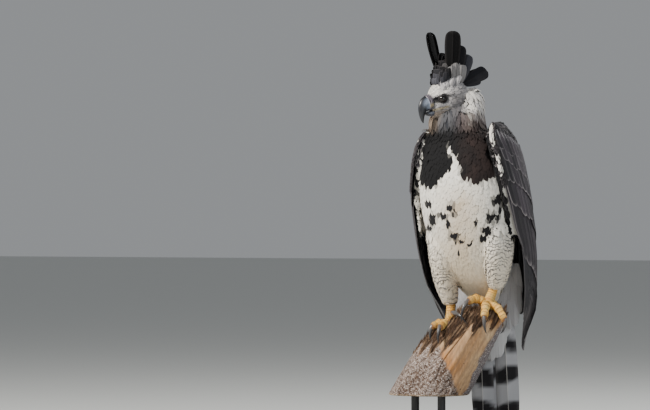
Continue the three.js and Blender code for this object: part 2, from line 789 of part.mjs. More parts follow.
// One flight feather or covert on the wing's sheet, front edge lifted over its neighbour
function wingVane(side, { root, tip, halfWidth, depth, slope, lift, stations, shape }) {
  const grid = stations.map((q) => {
    const s = mix(root[0], tip[0], q);
    const t = mix(root[1], tip[1], q);
    const half = shape(q)[0] * halfWidth;
    const reach = wingFrame(side, s, t).reach;
    const lie = depth * (1 - 0.8 * smooth(t, 0.84, 1)) - lift * smooth(t, 0.5, 0.95);
    return [-1, 0, 1].map((edge) => {
      const shifted = THREE.MathUtils.clamp(s + edge * half / reach, -0.04, 1.04);
      const { point, out } = wingFrame(side, shifted, t);
      return { point: point.addScaledVector(out, -lie - edge * half * slope), out };
    });
  });
  return plate(grid, VANE_THICKNESS);
}

// The core drops in a step under each tier, and the tier's roots are sunk in the face of its step
const CORE_LEVELS = [0, 0.06, 0.14, 0.21, 0.27, 0.295, 0.36, 0.385, 0.45, 0.475, 0.54];
const CORE_OUTER = track([
  [0, 0], [0.27, 0], [0.295, 3.8], [0.36, 3.8], [0.385, 7.2], [0.45, 7.2], [0.475, 11], [0.54, 11.2],
]);
const CORE_INNER = track([[0, 24], [0.15, 26], [0.35, 20], [0.5, 17.5], [0.54, 17]]);

function wingCore(side) {
  const columns = 7;
  const rings = CORE_LEVELS.map((t) => {
    const outer = Math.max(0, CORE_OUTER(t)[0]);
    const inner = CORE_INNER(t)[0];
    const middle = (outer + inner) / 2;
    const along = [];
    for (let c = 0; c < columns; c++) {
      const rounding = c % (columns - 1) ? 0 : 1.5;
      along.push([c / (columns - 1), outer + rounding]);
    }
    along.push([1.03, middle]);
    for (let c = columns - 1; c >= 0; c--) along.push([c / (columns - 1), inner]);
    along.push([-0.03, middle]);
    return along.map(([s, depth]) => {
      const { point, out } = wingFrame(side, s, t);
      return point.addScaledVector(out, -depth);
    });
  });
  const cap = wingFrame(side, 0.45, 0);
  return loft(rings, cap.point.add(vec(0, 0, 7)).addScaledVector(cap.out, -12));
}

// Tiers from the tip inward: primaries, secondaries, greater coverts, median coverts and
// scapulars. Primaries lie deepest, coverts on top. Roots and tips are given for the first and
// the last feather of a tier, across and down the sheet.
const LONG_STATIONS = [0, 0.45, 0.88, 1];
const SHORT_STATIONS = [0, 0.5, 0.88, 1];
const WING_TIERS = [
  {
    count: 5, half: 18, depth: 13, slope: 0.09, lift: 1.5, stations: LONG_STATIONS, shape: LONG_VANE,
    root: [[0.1, 0.515], [0.55, 0.515]], tip: [[0.16, 0.85], [0.5, 1]],
  },
  {
    count: 6, half: 25, depth: 8, slope: 0.065, lift: 0, stations: LONG_STATIONS, shape: LONG_VANE,
    root: [[0.12, 0.44], [0.94, 0.44]], tip: [[0.14, 0.74], [0.93, 0.85]],
  },
  {
    count: 5, half: 28, depth: 4.4, slope: 0.055, lift: 0, stations: SHORT_STATIONS, shape: BROAD_VANE,
    root: [[0.1, 0.345], [0.92, 0.345]], tip: [[0.12, 0.56], [0.92, 0.62]],
  },
  {
    count: 5, half: 26, depth: 1.2, slope: 0.055, lift: 0, stations: SHORT_STATIONS, shape: BROAD_VANE,
    root: [[0.13, 0.255], [0.88, 0.255]], tip: [[0.14, 0.41], [0.9, 0.46]],
  },
  {
    count: 2, half: 19, depth: -2.4, slope: 0.09, lift: 0, stations: SHORT_STATIONS, shape: BROAD_VANE,
    root: [[0.74, 0.13], [0.92, 0.19]], tip: [[0.8, 0.4], [0.95, 0.5]],
  },
];

function wingSolid(side) {
  const random = seeded(side === LEFT ? 11 : 23);
  const vanes = [];
  for (const tier of WING_TIERS) {
    for (let i = 0; i < tier.count; i++) {
      const q = i / (tier.count - 1);
      const root = [0, 1].map((k) => mix(tier.root[0][k], tier.root[1][k], q));
      const tip = [0, 1].map((k) => mix(tier.tip[0][k], tier.tip[1][k], q));
      tip[1] = Math.min(1, tip[1] + (random() - 0.5) * 0.012);
      vanes.push(wingVane(side, { ...tier, root, tip, halfWidth: tier.half, lift: tier.lift * i }));
    }
  }
  return cut(join([wingCore(side), ...vanes]), [
    torsoSolid(CUT_GROWTH),
    neckSolid(CUT_GROWTH),
    thighSolid(side === LEFT ? 'left' : 'right', CUT_GROWTH),
    tailEnvelope(),
  ]);
}

// Tail: twelve long feathers stacked from the middle pair outward, with coverts above and below
const TAIL_VANE = track([[0, 0.5], [0.3, 0.85], [0.75, 1], [0.95, 0.74], [1, 0.25]]);
const TAIL_LINE = track([[0, 18, 158], [1, 12, 128]]);

function tailPlace(z) {
  const q = (z - TAIL_TIP_HEIGHT) / (TAIL_ROOT_HEIGHT - TAIL_TIP_HEIGHT);
  const [x, y] = TAIL_LINE(q);
  return vec(x, y, z);
}

function tailEnvelope() {
  const rows = [
    [20, 19, 146, 172, 70],
    [150, 17, 138, 162, 70],
    [260, 17, 129, 154, 69],
    [350, 16, 116, 150, 67],
    [420, 14, 108, 146, 66],
    [470, 12, 104, 143, 54],
  ];
  return levelBody(rows, { levels: 6, sides: 12, power: 5, grow: 0.4, dome: 1 });
}

const TAIL_PAIRS = 6;
const TAIL_SPREAD = { root: 5.6, tip: 6.2 };
const TAIL_CORE_ROWS = [
  [330, 17, 120, 140, 48],
  [380, 16, 104, 142, 60],
  [430, 14, 92, 140, 60],
  [476, 12, 96, 132, 44],
];
const UNDER_COVERTS = 7;
const UPPER_COVERTS = 4;
const COVERT_STATIONS = [0, 0.45, 0.85, 1];

function tailSolid() {
  const pieces = [levelBody(TAIL_CORE_ROWS, { levels: 4, sides: 14, power: 2.2, dome: 5 })];
  for (let i = 0; i < TAIL_PAIRS; i++) {
    for (const side of [LEFT, RIGHT]) {
      const level = 2 * i + (side === LEFT ? 0 : 1);
      const forward = 7 - level * TAIL_LEVEL_STEP;
      const spread = side * (i + 0.5);
      pieces.push(freeVane({
        root: tailPlace(TAIL_ROOT_HEIGHT).add(vec(spread * TAIL_SPREAD.root, forward, 0)),
        tip: tailPlace(TAIL_TIP_HEIGHT + 3.4 * i).add(vec(spread * TAIL_SPREAD.tip, forward, 0)),
        face: vec(0, 1, 0.07),
        halfWidth: 30,
        edges: [-1, 1],
        stations: [0, 0.3, 0.75, 0.95, 1],
        shape: TAIL_VANE,
        thickness: 0.8,
      }));
    }
  }
  const random = seeded(31);
  for (let i = 0; i < UNDER_COVERTS; i++) {
    const across = (i / (UNDER_COVERTS - 1)) * 2 - 1;
    const middle = 1 - Math.abs(across);
    const layer = (i % 2) * 2;
    const reach = 268 + Math.abs(across) * 34 + random() * 10;
    pieces.push(freeVane({
      root: vec(14 + across * 36, 100 - middle * 4 - layer, 418),
      tip: tailPlace(reach).add(vec(across * 44, -14 - middle * 7 - layer, 0)),
      face: vec(across * 0.3, -1, -0.2),
      halfWidth: 19,
      bow: 5 * middle + 2,
      edges: [-1, 1],
      stations: COVERT_STATIONS,
    }));
  }
  for (let i = 0; i < UPPER_COVERTS; i++) {
    const across = (i / (UPPER_COVERTS - 1)) * 2 - 1;
    const side = Math.abs(across);
    pieces.push(freeVane({
      root: vec(12 + across * 14, 128, 470),
      tip: tailPlace(348 + side * 18).add(vec(across * 22, 12 - (i % 2) * 1.4 - side * 2, 0)),
      face: vec(across * 0.2, 1, 0.2),
      halfWidth: 15,
      edges: [-1, 1],
      stations: COVERT_STATIONS,
    }));
  }
  return cut(join(pieces), [torsoSolid(CUT_GROWTH)]);
}

// The assembly
const group = new THREE.Group();
const birdHead = new THREE.Group();
const level = Math.cos(HEAD_PITCH);
const headForward = vec(Math.sin(HEAD_YAW) * level, -Math.cos(HEAD_YAW) * level, Math.sin(HEAD_PITCH));
const headLeft = vec(Math.cos(HEAD_YAW), Math.sin(HEAD_YAW), 0);
const headUp = headForward.clone().cross(headLeft);
const headTurn = new THREE.Matrix4().makeBasis(headForward, headLeft, headUp);
birdHead.quaternion.setFromRotationMatrix(headTurn);
birdHead.position.copy(HEAD_CENTRE);
group.add(birdHead);

function add(parent, name, body, colour, roughness = 0.8, metalness = 0) {
  const { vertProperties, triVerts, numProp } = body.getMesh();
  const geometry = new THREE.BufferGeometry();
  const positions = new Float32Array((vertProperties.length / numProp) * 3);
  for (let i = 0; i < positions.length / 3; i++) {
    for (let k = 0; k < 3; k++) positions[i * 3 + k] = vertProperties[i * numProp + k];
  }
  geometry.setAttribute('position', new THREE.BufferAttribute(positions, 3));
  geometry.setIndex(new THREE.BufferAttribute(new Uint32Array(triVerts), 1));
  geometry.computeVertexNormals();
  const material = new THREE.MeshStandardMaterial({ color: colour, roughness, metalness });
  const mesh = new THREE.Mesh(geometry, material);
  mesh.name = name;
  parent.add(mesh);
}

const headPlacement = headTurn.clone().setPosition(HEAD_CENTRE);
const neckTools = [torsoSolid(CUT_GROWTH), headCore(CUT_GROWTH).transform(headPlacement.elements)];

add(group, 'stand_base', standBase(), STAND_BLACK, 0.5);
ROD_PLACES.forEach((place, i) => {
  add(group, `stand_rod_${i + 1}`, standRod(place), STAND_BLACK, 0.4, 0.6);
});
add(group, 'perch', perch(), DEAD_WOOD, 0.95);
add(group, 'torso', torsoSolid(), WHITE_FEATHER);
add(group, 'neck', cut(neckSolid(), neckTools), GREY_FEATHER);
add(birdHead, 'head', headSolid(), GREY_FEATHER);
add(birdHead, 'bill_upper', upperBill(), HORN_BLACK, 0.35);
add(birdHead, 'bill_lower', lowerBill(), HORN_BLACK, 0.35);
add(birdHead, 'eye_left', eyeSolid(LEFT), EYE_BROWN, 0.05);
add(birdHead, 'eye_right', eyeSolid(RIGHT), EYE_BROWN, 0.05);
add(group, 'wing_left', wingSolid(LEFT), SLATE);
add(group, 'wing_right', wingSolid(RIGHT), SLATE);
add(group, 'tail', tailSolid(), BARRED_FEATHER);
for (const leg of Object.keys(FEET)) {
  const footTool = footSolid(leg, CUT_GROWTH);
  const shank = cut(tarsusSolid(leg), [thighSolid(leg, CUT_GROWTH), footTool]);
  add(group, `thigh_${leg}`, cut(thighSolid(leg), [torsoSolid(CUT_GROWTH)]), BARRED_FEATHER);
  add(group, `tarsus_${leg}`, shank, LEG_YELLOW, 0.6);
  add(group, `foot_${leg}`, footSolid(leg), LEG_YELLOW, 0.6);
  for (const name of Object.keys(TOE_RADIUS)) {
    add(group, `claw_${leg}_${name}`, cut(clawSolid(leg, name), [footTool]), HORN_BLACK, 0.3);
  }
}

export default group;
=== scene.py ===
"""Looks of the life-size harpy eagle on its cut limb and display stand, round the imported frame."""

import math

import bmesh
import bpy
import numpy as np
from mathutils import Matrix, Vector
from mathutils.bvhtree import BVHTree
from mathutils.kdtree import KDTree


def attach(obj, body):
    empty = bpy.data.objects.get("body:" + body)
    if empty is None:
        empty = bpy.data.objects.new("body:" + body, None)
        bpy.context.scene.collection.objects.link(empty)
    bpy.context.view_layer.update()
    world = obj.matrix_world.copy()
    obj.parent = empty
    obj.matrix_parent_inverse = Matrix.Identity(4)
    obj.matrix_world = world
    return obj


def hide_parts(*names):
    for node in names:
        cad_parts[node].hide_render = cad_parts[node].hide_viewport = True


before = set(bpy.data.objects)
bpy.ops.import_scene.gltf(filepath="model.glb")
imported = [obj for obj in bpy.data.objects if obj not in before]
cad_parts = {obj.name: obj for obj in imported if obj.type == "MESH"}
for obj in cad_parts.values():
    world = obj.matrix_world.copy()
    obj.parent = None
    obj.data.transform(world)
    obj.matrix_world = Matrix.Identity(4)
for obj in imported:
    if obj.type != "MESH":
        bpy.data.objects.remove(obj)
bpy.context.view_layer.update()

# Camera
# A long lens level with the bird's breast, a little to the bird's left of straight ahead.
CAMERA_AZIMUTH = math.radians(24)
CAMERA_DISTANCE = 8.85
AIM_ACROSS = -0.350
AIM_HEIGHT = 0.618
CAMERA_AIM = (AIM_ACROSS * math.cos(CAMERA_AZIMUTH), AIM_ACROSS * math.sin(CAMERA_AZIMUTH), AIM_HEIGHT)
LENS = 200
SENSOR = 36

lens = bpy.data.cameras.new("camera")
lens.lens = LENS
lens.sensor_width = SENSOR
lens.clip_end = 60
camera = bpy.data.objects.new("camera", lens)
bpy.context.scene.collection.objects.link(camera)
view_from = Vector((math.sin(CAMERA_AZIMUTH), -math.cos(CAMERA_AZIMUTH), 0))
camera.location = Vector(CAMERA_AIM) + view_from * CAMERA_DISTANCE
camera.rotation_euler = (-view_from).to_track_quat("-Z", "Y").to_euler()
bpy.context.scene.camera = camera

# The skin of the body
# One closed skin over breast, belly, back, neck, head, thighs and the fleshy part of each wing,
# with no seam between them. It lies as deep under the outline as the coat of feathers is thick.
MM = 0.001
LEFT = 1
RIGHT = -1


def track(rows):
    """Smooth values through rows of [station, value, ...], for one station or an array of them."""
    table = np.array(rows, float)
    knots, values = table[:, 0], table[:, 1:]

    def read(station):
        at = np.atleast_1d(np.asarray(station, float))
        i = np.clip(np.searchsorted(knots, at, side="left") - 1, 0, len(knots) - 2)
        before = np.maximum(i - 1, 0)
        after = np.minimum(i + 2, len(knots) - 1)
        span = (knots[i + 1] - knots[i])[:, None]
        q = np.clip((at - knots[i])[:, None] / span, 0, 1)
        slope_in = (values[i + 1] - values[before]) / (knots[i + 1] - knots[before])[:, None]
        slope_out = (values[after] - values[i]) / (knots[after] - knots[i])[:, None]
        result = ((2 * q ** 3 - 3 * q ** 2 + 1) * values[i]
                  + (q ** 3 - 2 * q ** 2 + q) * span * slope_in
                  + (3 * q ** 2 - 2 * q ** 3) * values[i + 1]
                  + (q ** 3 - q ** 2) * span * slope_out)
        return result if np.ndim(station) else result[0]

    return read


TORSO_ROWS = [
    [372, 14, 62, 112, 20], [400, 13, 22, 120, 44], [440, 11, -26, 123, 68], [490, 8, -66, 123, 90],
    [550, 5, -95, 120, 107], [610, 2, -111, 115, 115], [670, -1, -117, 106, 116],
    [720, -4, -113, 92, 110], [760, -8, -102, 70, 99], [790, -11, -84, 46, 80],
    [808, -13, -60, 22, 54],
]
NECK_ROWS = [
    [768, -9, -88, 70, 84], [800, -16, -90, 45, 73], [838, -17, -90, 36, 68],
    [864, -11, -60, 38, 58], [888, -6, -46, 32, 46], [904, -1, -40, 20, 30],
]
THIGH_ROWS = {
    LEFT: [
        [410, 73, -20, 22, 17], [432, 77, -36, 32, 25], [470, 83, -57, 40, 32],
        [520, 83, -69, 48, 38], [575, 76, -62, 52, 40],
    ],
    RIGHT: [
        [370, -45, -20, 20, 17], [392, -48, -34, 27, 24], [430, -53, -54, 33, 30],
        [480, -57, -70, 40, 34], [530, -60, -72, 48, 37], [575, -60, -62, 52, 40],
    ],
}
HEAD_ROWS = [
    [-64, 14, 10, -18], [-56, 27, 28, -34], [-44, 37, 41, -44], [-30, 42, 51, -48],
    [-12, 42, 54, -49], [6, 38, 53, -47], [20, 32, 47, -44], [32, 26.5, 39, -40],
    [40, 20.5, 30, -37], [46, 16, 21, -33],
]
BROW_LINE = track([[-6, 11], [8, 15], [18, 17.5], [28, 17], [38, 14], [46, 11]])
GAPE_LINE = track([[13, -14], [30, -16.2], [50, -18.2]])
HEAD_CENTRE = np.array([-40, -50, 875.0])
HEAD_YAW = math.radians(-31)
HEAD_PITCH = math.radians(-10)
COAT_DEPTH = {"torso": 8.5, "neck": 8, "thigh": 6.5, "head": 3.2}
SKIN_VOXEL = 3.6


def unit(vectors):
    vectors = np.asarray(vectors, float)
    return vectors / np.maximum(np.linalg.norm(vectors, axis=-1, keepdims=True), 1e-9)


def ease(value, low, high):
    q = np.clip((np.asarray(value, float) - low) / (high - low), 0, 1)
    return q * q * (3 - 2 * q)


def blend_between(a, b, share):
    share = np.asarray(share, float)[..., None]
    return np.asarray(a, float) * (1 - share) + np.asarray(b, float) * share


def grid_faces(rows, columns):
    """Quads of a grid that closes on itself round its columns."""
    return [(r * columns + k, r * columns + (k + 1) % columns,
             (r + 1) * columns + (k + 1) % columns, (r + 1) * columns + k)
            for r in range(rows - 1) for k in range(columns)]


def ring_faces(rings, sides):
    """Quads between rings of points, and an end cap on the first and the last ring."""
    return grid_faces(rings, sides) + [tuple(range(sides - 1, -1, -1)),
                                       tuple((rings - 1) * sides + k for k in range(sides))]


def mesh_object(name, points, faces):
    """A mesh object at the origin from points in millimetres."""
    mesh = bpy.data.meshes.new(name)
    mesh.from_pydata([tuple(p) for p in np.asarray(points, float) * MM], [], faces)
    mesh.update()
    made = bpy.data.objects.new(name, mesh)
    bpy.context.scene.collection.objects.link(made)
    return made


def turn_outward(obj):
    """Faces of a closed mesh turned out, after its doubles are merged."""
    work = bmesh.new()
    work.from_mesh(obj.data)
    bmesh.ops.remove_doubles(work, verts=work.verts, dist=1e-6)
    bmesh.ops.recalc_face_normals(work, faces=work.faces)
    work.to_mesh(obj.data)
    work.free()
    obj.data.update()


def level_loft(rows, grow, power, levels=40, sides=48):
    """Rings of a body of level rows, squarish by the power, grown or shrunk all round."""
    shape = track(rows)
    heights = np.linspace(rows[0][0], rows[-1][0], levels)
    angle = np.arange(sides) / sides * 2 * math.pi
    c, s = np.cos(angle), np.sin(angle)
    rings = []
    for z, (x, front, back, half) in zip(heights, shape(heights)):
        across = np.sign(c) * np.abs(c) ** (2 / power) * max(half + grow, 2)
        deep = np.sign(s) * np.abs(s) ** (2 / power) * max((back - front) / 2 + grow, 2)
        rings.append(np.stack([x + across, (front + back) / 2 + deep, np.full(sides, z)], 1))
    rings[0][:, 2] -= grow
    rings[-1][:, 2] += grow
    return np.concatenate(rings), ring_faces(levels, sides)


level = math.cos(HEAD_PITCH)
HEAD_FORWARD = np.array([math.sin(HEAD_YAW) * level, -math.cos(HEAD_YAW) * level, math.sin(HEAD_PITCH)])
HEAD_LEFT = np.array([math.cos(HEAD_YAW), math.sin(HEAD_YAW), 0])
HEAD_UP = np.cross(HEAD_FORWARD, HEAD_LEFT)
HEAD_AXES = np.array([HEAD_FORWARD, HEAD_LEFT, HEAD_UP])


def from_head(points):
    """Points given forward, left and up from the middle of the head, as places in the frame."""
    return np.asarray(points, float) @ HEAD_AXES + HEAD_CENTRE


def to_head(points):
    return (np.asarray(points, float) - HEAD_CENTRE) @ HEAD_AXES.T


def head_relief(local):
    """Raises the brow and cheek of the head, and sinks the eye's socket, lores and gape."""
    f, y, u = local[:, 0], local[:, 1], local[:, 2]
    ridge = np.exp(-((u - BROW_LINE(f)[:, 0]) / 3.2) ** 2) * ease(f, -8, 6) * ease(f, 48, 40)
    socket = np.exp(-(((f - 24) / 14) ** 2 + ((u - 5) / 9) ** 2) ** 1.5)
    lores = np.exp(-(((f - 40) / 8) ** 2 + ((u - 0) / 8) ** 2))
    cheek = np.exp(-(((f - 4) / 17) ** 2 + ((u + 9) / 8) ** 2))
    crease = np.exp(-((u - GAPE_LINE(f)[:, 0]) / 1.8) ** 2) * ease(f, 8, 16)
    push = 4.4 * ridge - 4.2 * socket - 1.8 * lores + 1.6 * cheek - 1.2 * crease
    raised = local.copy()
    raised[:, 1] += np.sign(y) * push * ease(np.abs(y), 6, 16)
    return raised


def head_loft(grow, levels=100, sides=112):
    shape = track(HEAD_ROWS)
    stations = np.linspace(HEAD_ROWS[0][0], HEAD_ROWS[-1][0], levels)
    angle = np.arange(sides) / sides * 2 * math.pi
    rings = []
    for f, (half, top, bottom) in zip(stations, shape(stations)):
        wide = np.sign(np.cos(angle)) * np.abs(np.cos(angle)) ** 0.93 * (half + grow)
        tall = np.sign(np.sin(angle)) * np.abs(np.sin(angle)) ** 0.93 * ((top - bottom) / 2 + grow)
        rings.append(np.stack([np.full(sides, f), wide, (top + bottom) / 2 + tall], 1))
    rings[0][:, 0] -= grow
    return from_head(head_relief(np.concatenate(rings))), ring_faces(levels, sides)


WING_ROWS = [
    [258, 84, 138, 94, 150, 86, 158], [300, 84, 116, 125, 156, 70, 160],
    [364, 100, 80, 178, 150, 54, 162], [422, 121, 32, 202, 136, 43, 161],
    [508, 129, -6, 218, 120, 38, 156], [630, 126, -60, 202, 85, 52, 139],
    [728, 112, -84, 175, 40, 72, 104], [777, 97, -88, 163, 13, 78, 56],
    [812, 90, -62, 116, -28, 86, 4],
]
WING_SHAPE = track(WING_ROWS)
WING_TOP, WING_TIP = 812, 258
SHOULDER_TILT = 11


def wing_point(side, s, t):
    """A place on the sheet of the folded wing: s from front edge to back, t from wrist to tip."""
    s, t = np.broadcast_arrays(np.asarray(s, float), np.asarray(t, float))
    z = WING_TOP + (WING_TIP - WING_TOP) * t
    fx, fy, cx, cy, rx, ry = WING_SHAPE(z.ravel()).reshape(z.shape + (6,)).transpose(
        (z.ndim,) + tuple(range(z.ndim)))
    a, b, c = (1 - s) ** 2, 2 * s * (1 - s), s * s
    tilt = side * SHOULDER_TILT * (1 - ease(t, 0, 0.7))
    return np.stack([side * (a * fx + b * cx + c * rx), a * fy + b * cy + c * ry, z + tilt], -1)


def wing_sheet(side, s, t):
    """Place, outward direction and width of the wing's sheet at s and t."""
    step = 0.004
    across = (wing_point(side, s + step, t) - wing_point(side, s - step, t)) / (2 * step)
    down = wing_point(side, s, np.minimum(1, t + step)) - wing_point(side, s, np.maximum(0, t - step))
    place = wing_point(side, s, t)
    out = unit(np.cross(across, down))
    away = place * [1, 1, 0] - [0, 30, 0]
    out = out * np.where((out * away).sum(-1, keepdims=True) < 0, -1, 1)
    return place, out, np.linalg.norm(across, axis=-1)


ARM_END = 0.5
ARM_OUTER = track([[0, 5], [0.2, 6], [0.3, 9], [0.4, 12], [0.5, 14]])
ARM_INNER = track([[0, 24], [0.15, 26], [0.35, 20], [0.5, 17.5]])


def wing_arm(side, levels=26, columns=16):
    """The fleshy part of the folded wing, under its coverts."""
    rings = []
    for t in np.linspace(0, ARM_END, levels):
        outer, inner = ARM_OUTER(t)[0], ARM_INNER(t)[0]
        s = np.linspace(0, 1, columns)
        place, out, _ = wing_sheet(side, s, np.full(columns, t))
        rounding = np.where((s == 0) | (s == 1), 2.5, 0)[:, None]
        rings.append(np.concatenate([place - out * (outer + rounding),
                                     (place - out * inner)[::-1]]))
    return np.concatenate(rings), ring_faces(levels, 2 * columns)


TAIL_ROOT_ROWS = [
    [348, 16, 118, 139, 24], [390, 15, 102, 141, 44], [430, 13, 92, 140, 50], [476, 12, 96, 132, 40],
]
body_forms = {
    "torso": level_loft(TORSO_ROWS, -COAT_DEPTH["torso"], 2.3),
    "neck": level_loft(NECK_ROWS, -COAT_DEPTH["neck"], 2.1),
    "thigh_left": level_loft(THIGH_ROWS[LEFT], -COAT_DEPTH["thigh"], 2),
    "thigh_right": level_loft(THIGH_ROWS[RIGHT], -COAT_DEPTH["thigh"], 2),
    "tail_root": level_loft(TAIL_ROOT_ROWS, -COAT_DEPTH["thigh"], 2.2),
    "head": head_loft(-COAT_DEPTH["head"]),
    "arm_left": wing_arm(LEFT),
    "arm_right": wing_arm(RIGHT),
}


def joined_object(name, forms):
    """One mesh object of several closed forms that run into each other."""
    points, faces, start = [], [], 0
    for form_points, form_faces in forms:
        points.append(form_points)
        faces += [tuple(i + start for i in face) for face in form_faces]
        start += len(form_points)
    made = mesh_object(name, np.concatenate(points), faces)
    turn_outward(made)
    return made


def smooth_faces(obj):
    for polygon in obj.data.polygons:
        polygon.use_smooth = True
    obj.data.update()


def use_modifiers(obj):
    """Replaces an object's mesh by what its modifiers make of it."""
    view = bpy.context.evaluated_depsgraph_get()
    made = bpy.data.meshes.new_from_object(obj.evaluated_get(view))
    obj.modifiers.clear()
    old = obj.data
    obj.data = made
    bpy.data.meshes.remove(old)


def fused(obj, voxel, softness, passes):
    """Fuses forms that overlap into one surface of small even faces, and smooths it."""
    remesh = obj.modifiers.new("one surface", "REMESH")
    remesh.mode = "VOXEL"
    remesh.voxel_size = voxel * MM
    relax = obj.modifiers.new("softened", "SMOOTH")
    relax.factor = softness
    relax.iterations = passes
    use_modifiers(obj)
    smooth_faces(obj)


def settled(obj, material):
    """A finished piece gets its material and slot, and rides on the one body."""
    obj.data.materials.append(material)
    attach(obj, "root")


skin = joined_object("skin", body_forms.values())
fused(skin, SKIN_VOXEL, 0.6, 9)
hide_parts("torso", "neck", "thigh_left", "thigh_right")
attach(skin, "root")

# The lie and markings of the coat
# Contour feathers lie from the bill back over the head and down the body. The bird is grey on the
# head and neck, black across the breast, white below with black drops, and barred on the thighs.
form_trees = {name: BVHTree.FromPolygons([Vector(p) for p in points], faces)
              for name, (points, faces) in body_forms.items()}
skin_tree = BVHTree.FromPolygons([v.co / MM for v in skin.data.vertices],
                                 [tuple(p.vertices) for p in skin.data.polygons])


def shade(red, green, blue):
    """A colour named as a screen shows it, in the linear values that a shader takes."""
    return np.array([((v / 255 + 0.055) / 1.055) ** 2.4 if v > 10 else v / 3294 for v in (red, green, blue)])


WHITE = shade(236, 231, 221)
LOWER_BELLY_SHADE = shade(222, 205, 178)
BELLY_SHADE_TAN = shade(196, 172, 140)
BAND_BLACK = shade(13, 12, 14)
BAND_BROWN = shade(50, 38, 35)
SLATE = shade(32, 31, 34)
NAPE_GREY = shade(182, 178, 178)
CROWN_DARK = shade(62, 60, 64)
THROAT = shade(150, 130, 112)
NECK_BROWN = shade(76, 54, 47)
NECK_SHADE = shade(48, 50, 56)
EAR_GREY = shade(74, 68, 72)
LORE_GREY = shade(30, 28, 31)
ACROSS_VIEW = np.array([math.cos(CAMERA_AZIMUTH), math.sin(CAMERA_AZIMUTH), 0])

# Black drops on the belly and flanks: across the front, height, half width, half height
DROPS = [
    (-83, 583, 8, 14), (-62, 590, 9, 6), (-45, 612, 8, 8), (-36, 600, 7, 7), (-47, 568, 4, 6),
    (-35, 543, 11, 9), (-27, 529, 4, 3), (-15, 532, 3, 3), (-22, 505, 4, 4), (0, 522, 4, 5),
    (15, 576, 3, 7), (54, 586, 15, 12), (40, 560, 12, 6), (46, 547, 9, 6), (33, 535, 10, 5),
    (64, 626, 11, 13), (72, 605, 8, 8), (86, 617, 10, 12), (92, 590, 8, 13), (80, 640, 6, 8),
    (-92, 620, 6, 8), (-90, 560, 5, 6),
]
SPLIT_LINE = track([[640, -40, 32], [668, -42, 29], [686, -40, 20], [702, -31, 9], [725, -37, 6],
                    [745, -46, 4], [756, -49, 2]])
BAND_LOW = track([[-120, 676], [-95, 660], [-66, 664], [-50, 672], [-25, 676], [10, 668], [45, 672],
                  [70, 690], [110, 720]])


def wobble(points, size, seed=0.0):
    """Smooth wandering values between -1 and 1 over places in millimetres."""
    p = np.asarray(points, float) / size + seed
    return (np.sin(p[..., 0] * 2.1 + 1.7 * np.sin(p[..., 1] * 1.3 + p[..., 2]))
            + np.sin(p[..., 1] * 2.6 + 1.4 * np.sin(p[..., 2] * 1.9 - p[..., 0]))
            + np.sin(p[..., 2] * 2.3 + 1.9 * np.sin(p[..., 0] * 1.5 + p[..., 1] * 0.8))) / 3


def body_colour(points, normals):
    """Colour of the plumage over the body, neck and thighs."""
    p = np.asarray(points, float)
    n = np.asarray(normals, float)
    y, z = p[..., 1], p[..., 2]
    a = p @ ACROSS_VIEW
    rough = wobble(p, 17)
    fine = wobble(p, 7, 3.1)
    colour = np.broadcast_to(WHITE, p.shape)
    # painted shadow: a warm tan down the middle of the belly, where the thigh's shadow falls, cooler towards
    # the flanks
    middle = np.exp(-((a + 18) / 46) ** 2) * ease(z, 690, 600) * ease(z, 380, 440)
    colour = blend_between(colour, BELLY_SHADE_TAN * 0.86, 0.9 * middle * (0.8 + 0.2 * rough))
    # painted shade: cream lower down the belly
    colour = blend_between(colour, LOWER_BELLY_SHADE, 0.6 * ease(z, 590, 450) + 0.12 * fine)
    # back and shoulders
    back = ease(y + 9 * rough, 52, 74) * ease(z, 440, 475)
    colour = blend_between(colour, SLATE, back)
    # breast band with its white split
    low = BAND_LOW(a.ravel()).reshape(a.shape) + 7 * fine + 4 * rough
    band = ease(z, low - 3, low + 4) * ease(z, 846, 832)
    split_at, split_half = np.moveaxis(SPLIT_LINE(z.ravel()).reshape(z.shape + (2,)), -1, 0)
    facing = ease(n @ np.array(view_from), -0.1, 0.2)
    split = ease(split_half + 4 * fine + 3 * wobble(p, 3.5, 8.0) - np.abs(a - split_at), -1, 3)
    split = split * ease(z, 762, 748) * facing
    brown = ease(a, -45, 10) * ease(a, 130, 70)
    band_tone = blend_between(BAND_BLACK, BAND_BROWN, brown * (0.55 + 0.35 * rough))
    colour = blend_between(colour, band_tone, band * (1 - split))
    # shoulders mottled slate, beside the neck
    colour = blend_between(colour, SLATE * (1.5 + 0.7 * fine[..., None]), ease(z, 768, 784) * ease(a, 48, 60))
    # neck: mottled white at the nape, dark grey painted shade under the cheek, buff throat, brown over the
    # breast
    neck = ease(z + 5 * rough + 6 * fine, 784, 820) * ease(a, 62, 48)
    tone = blend_between(NAPE_GREY, WHITE, np.clip(0.5 + 0.7 * wobble(p, 8, 6.0), 0, 1) * ease(a, -25, 5))
    tone = blend_between(tone, NECK_SHADE, (0.88 + 0.12 * fine) * ease(a, 4, -24) * ease(z, 884, 862))
    tone = blend_between(tone, THROAT, ease(a, -64, -84) * 0.85)
    tone = blend_between(tone, NECK_BROWN, 0.85 * ease(z + 12 * fine, 852, 812) * ease(a, -45, 0))
    return blend_between(colour, tone, neck)


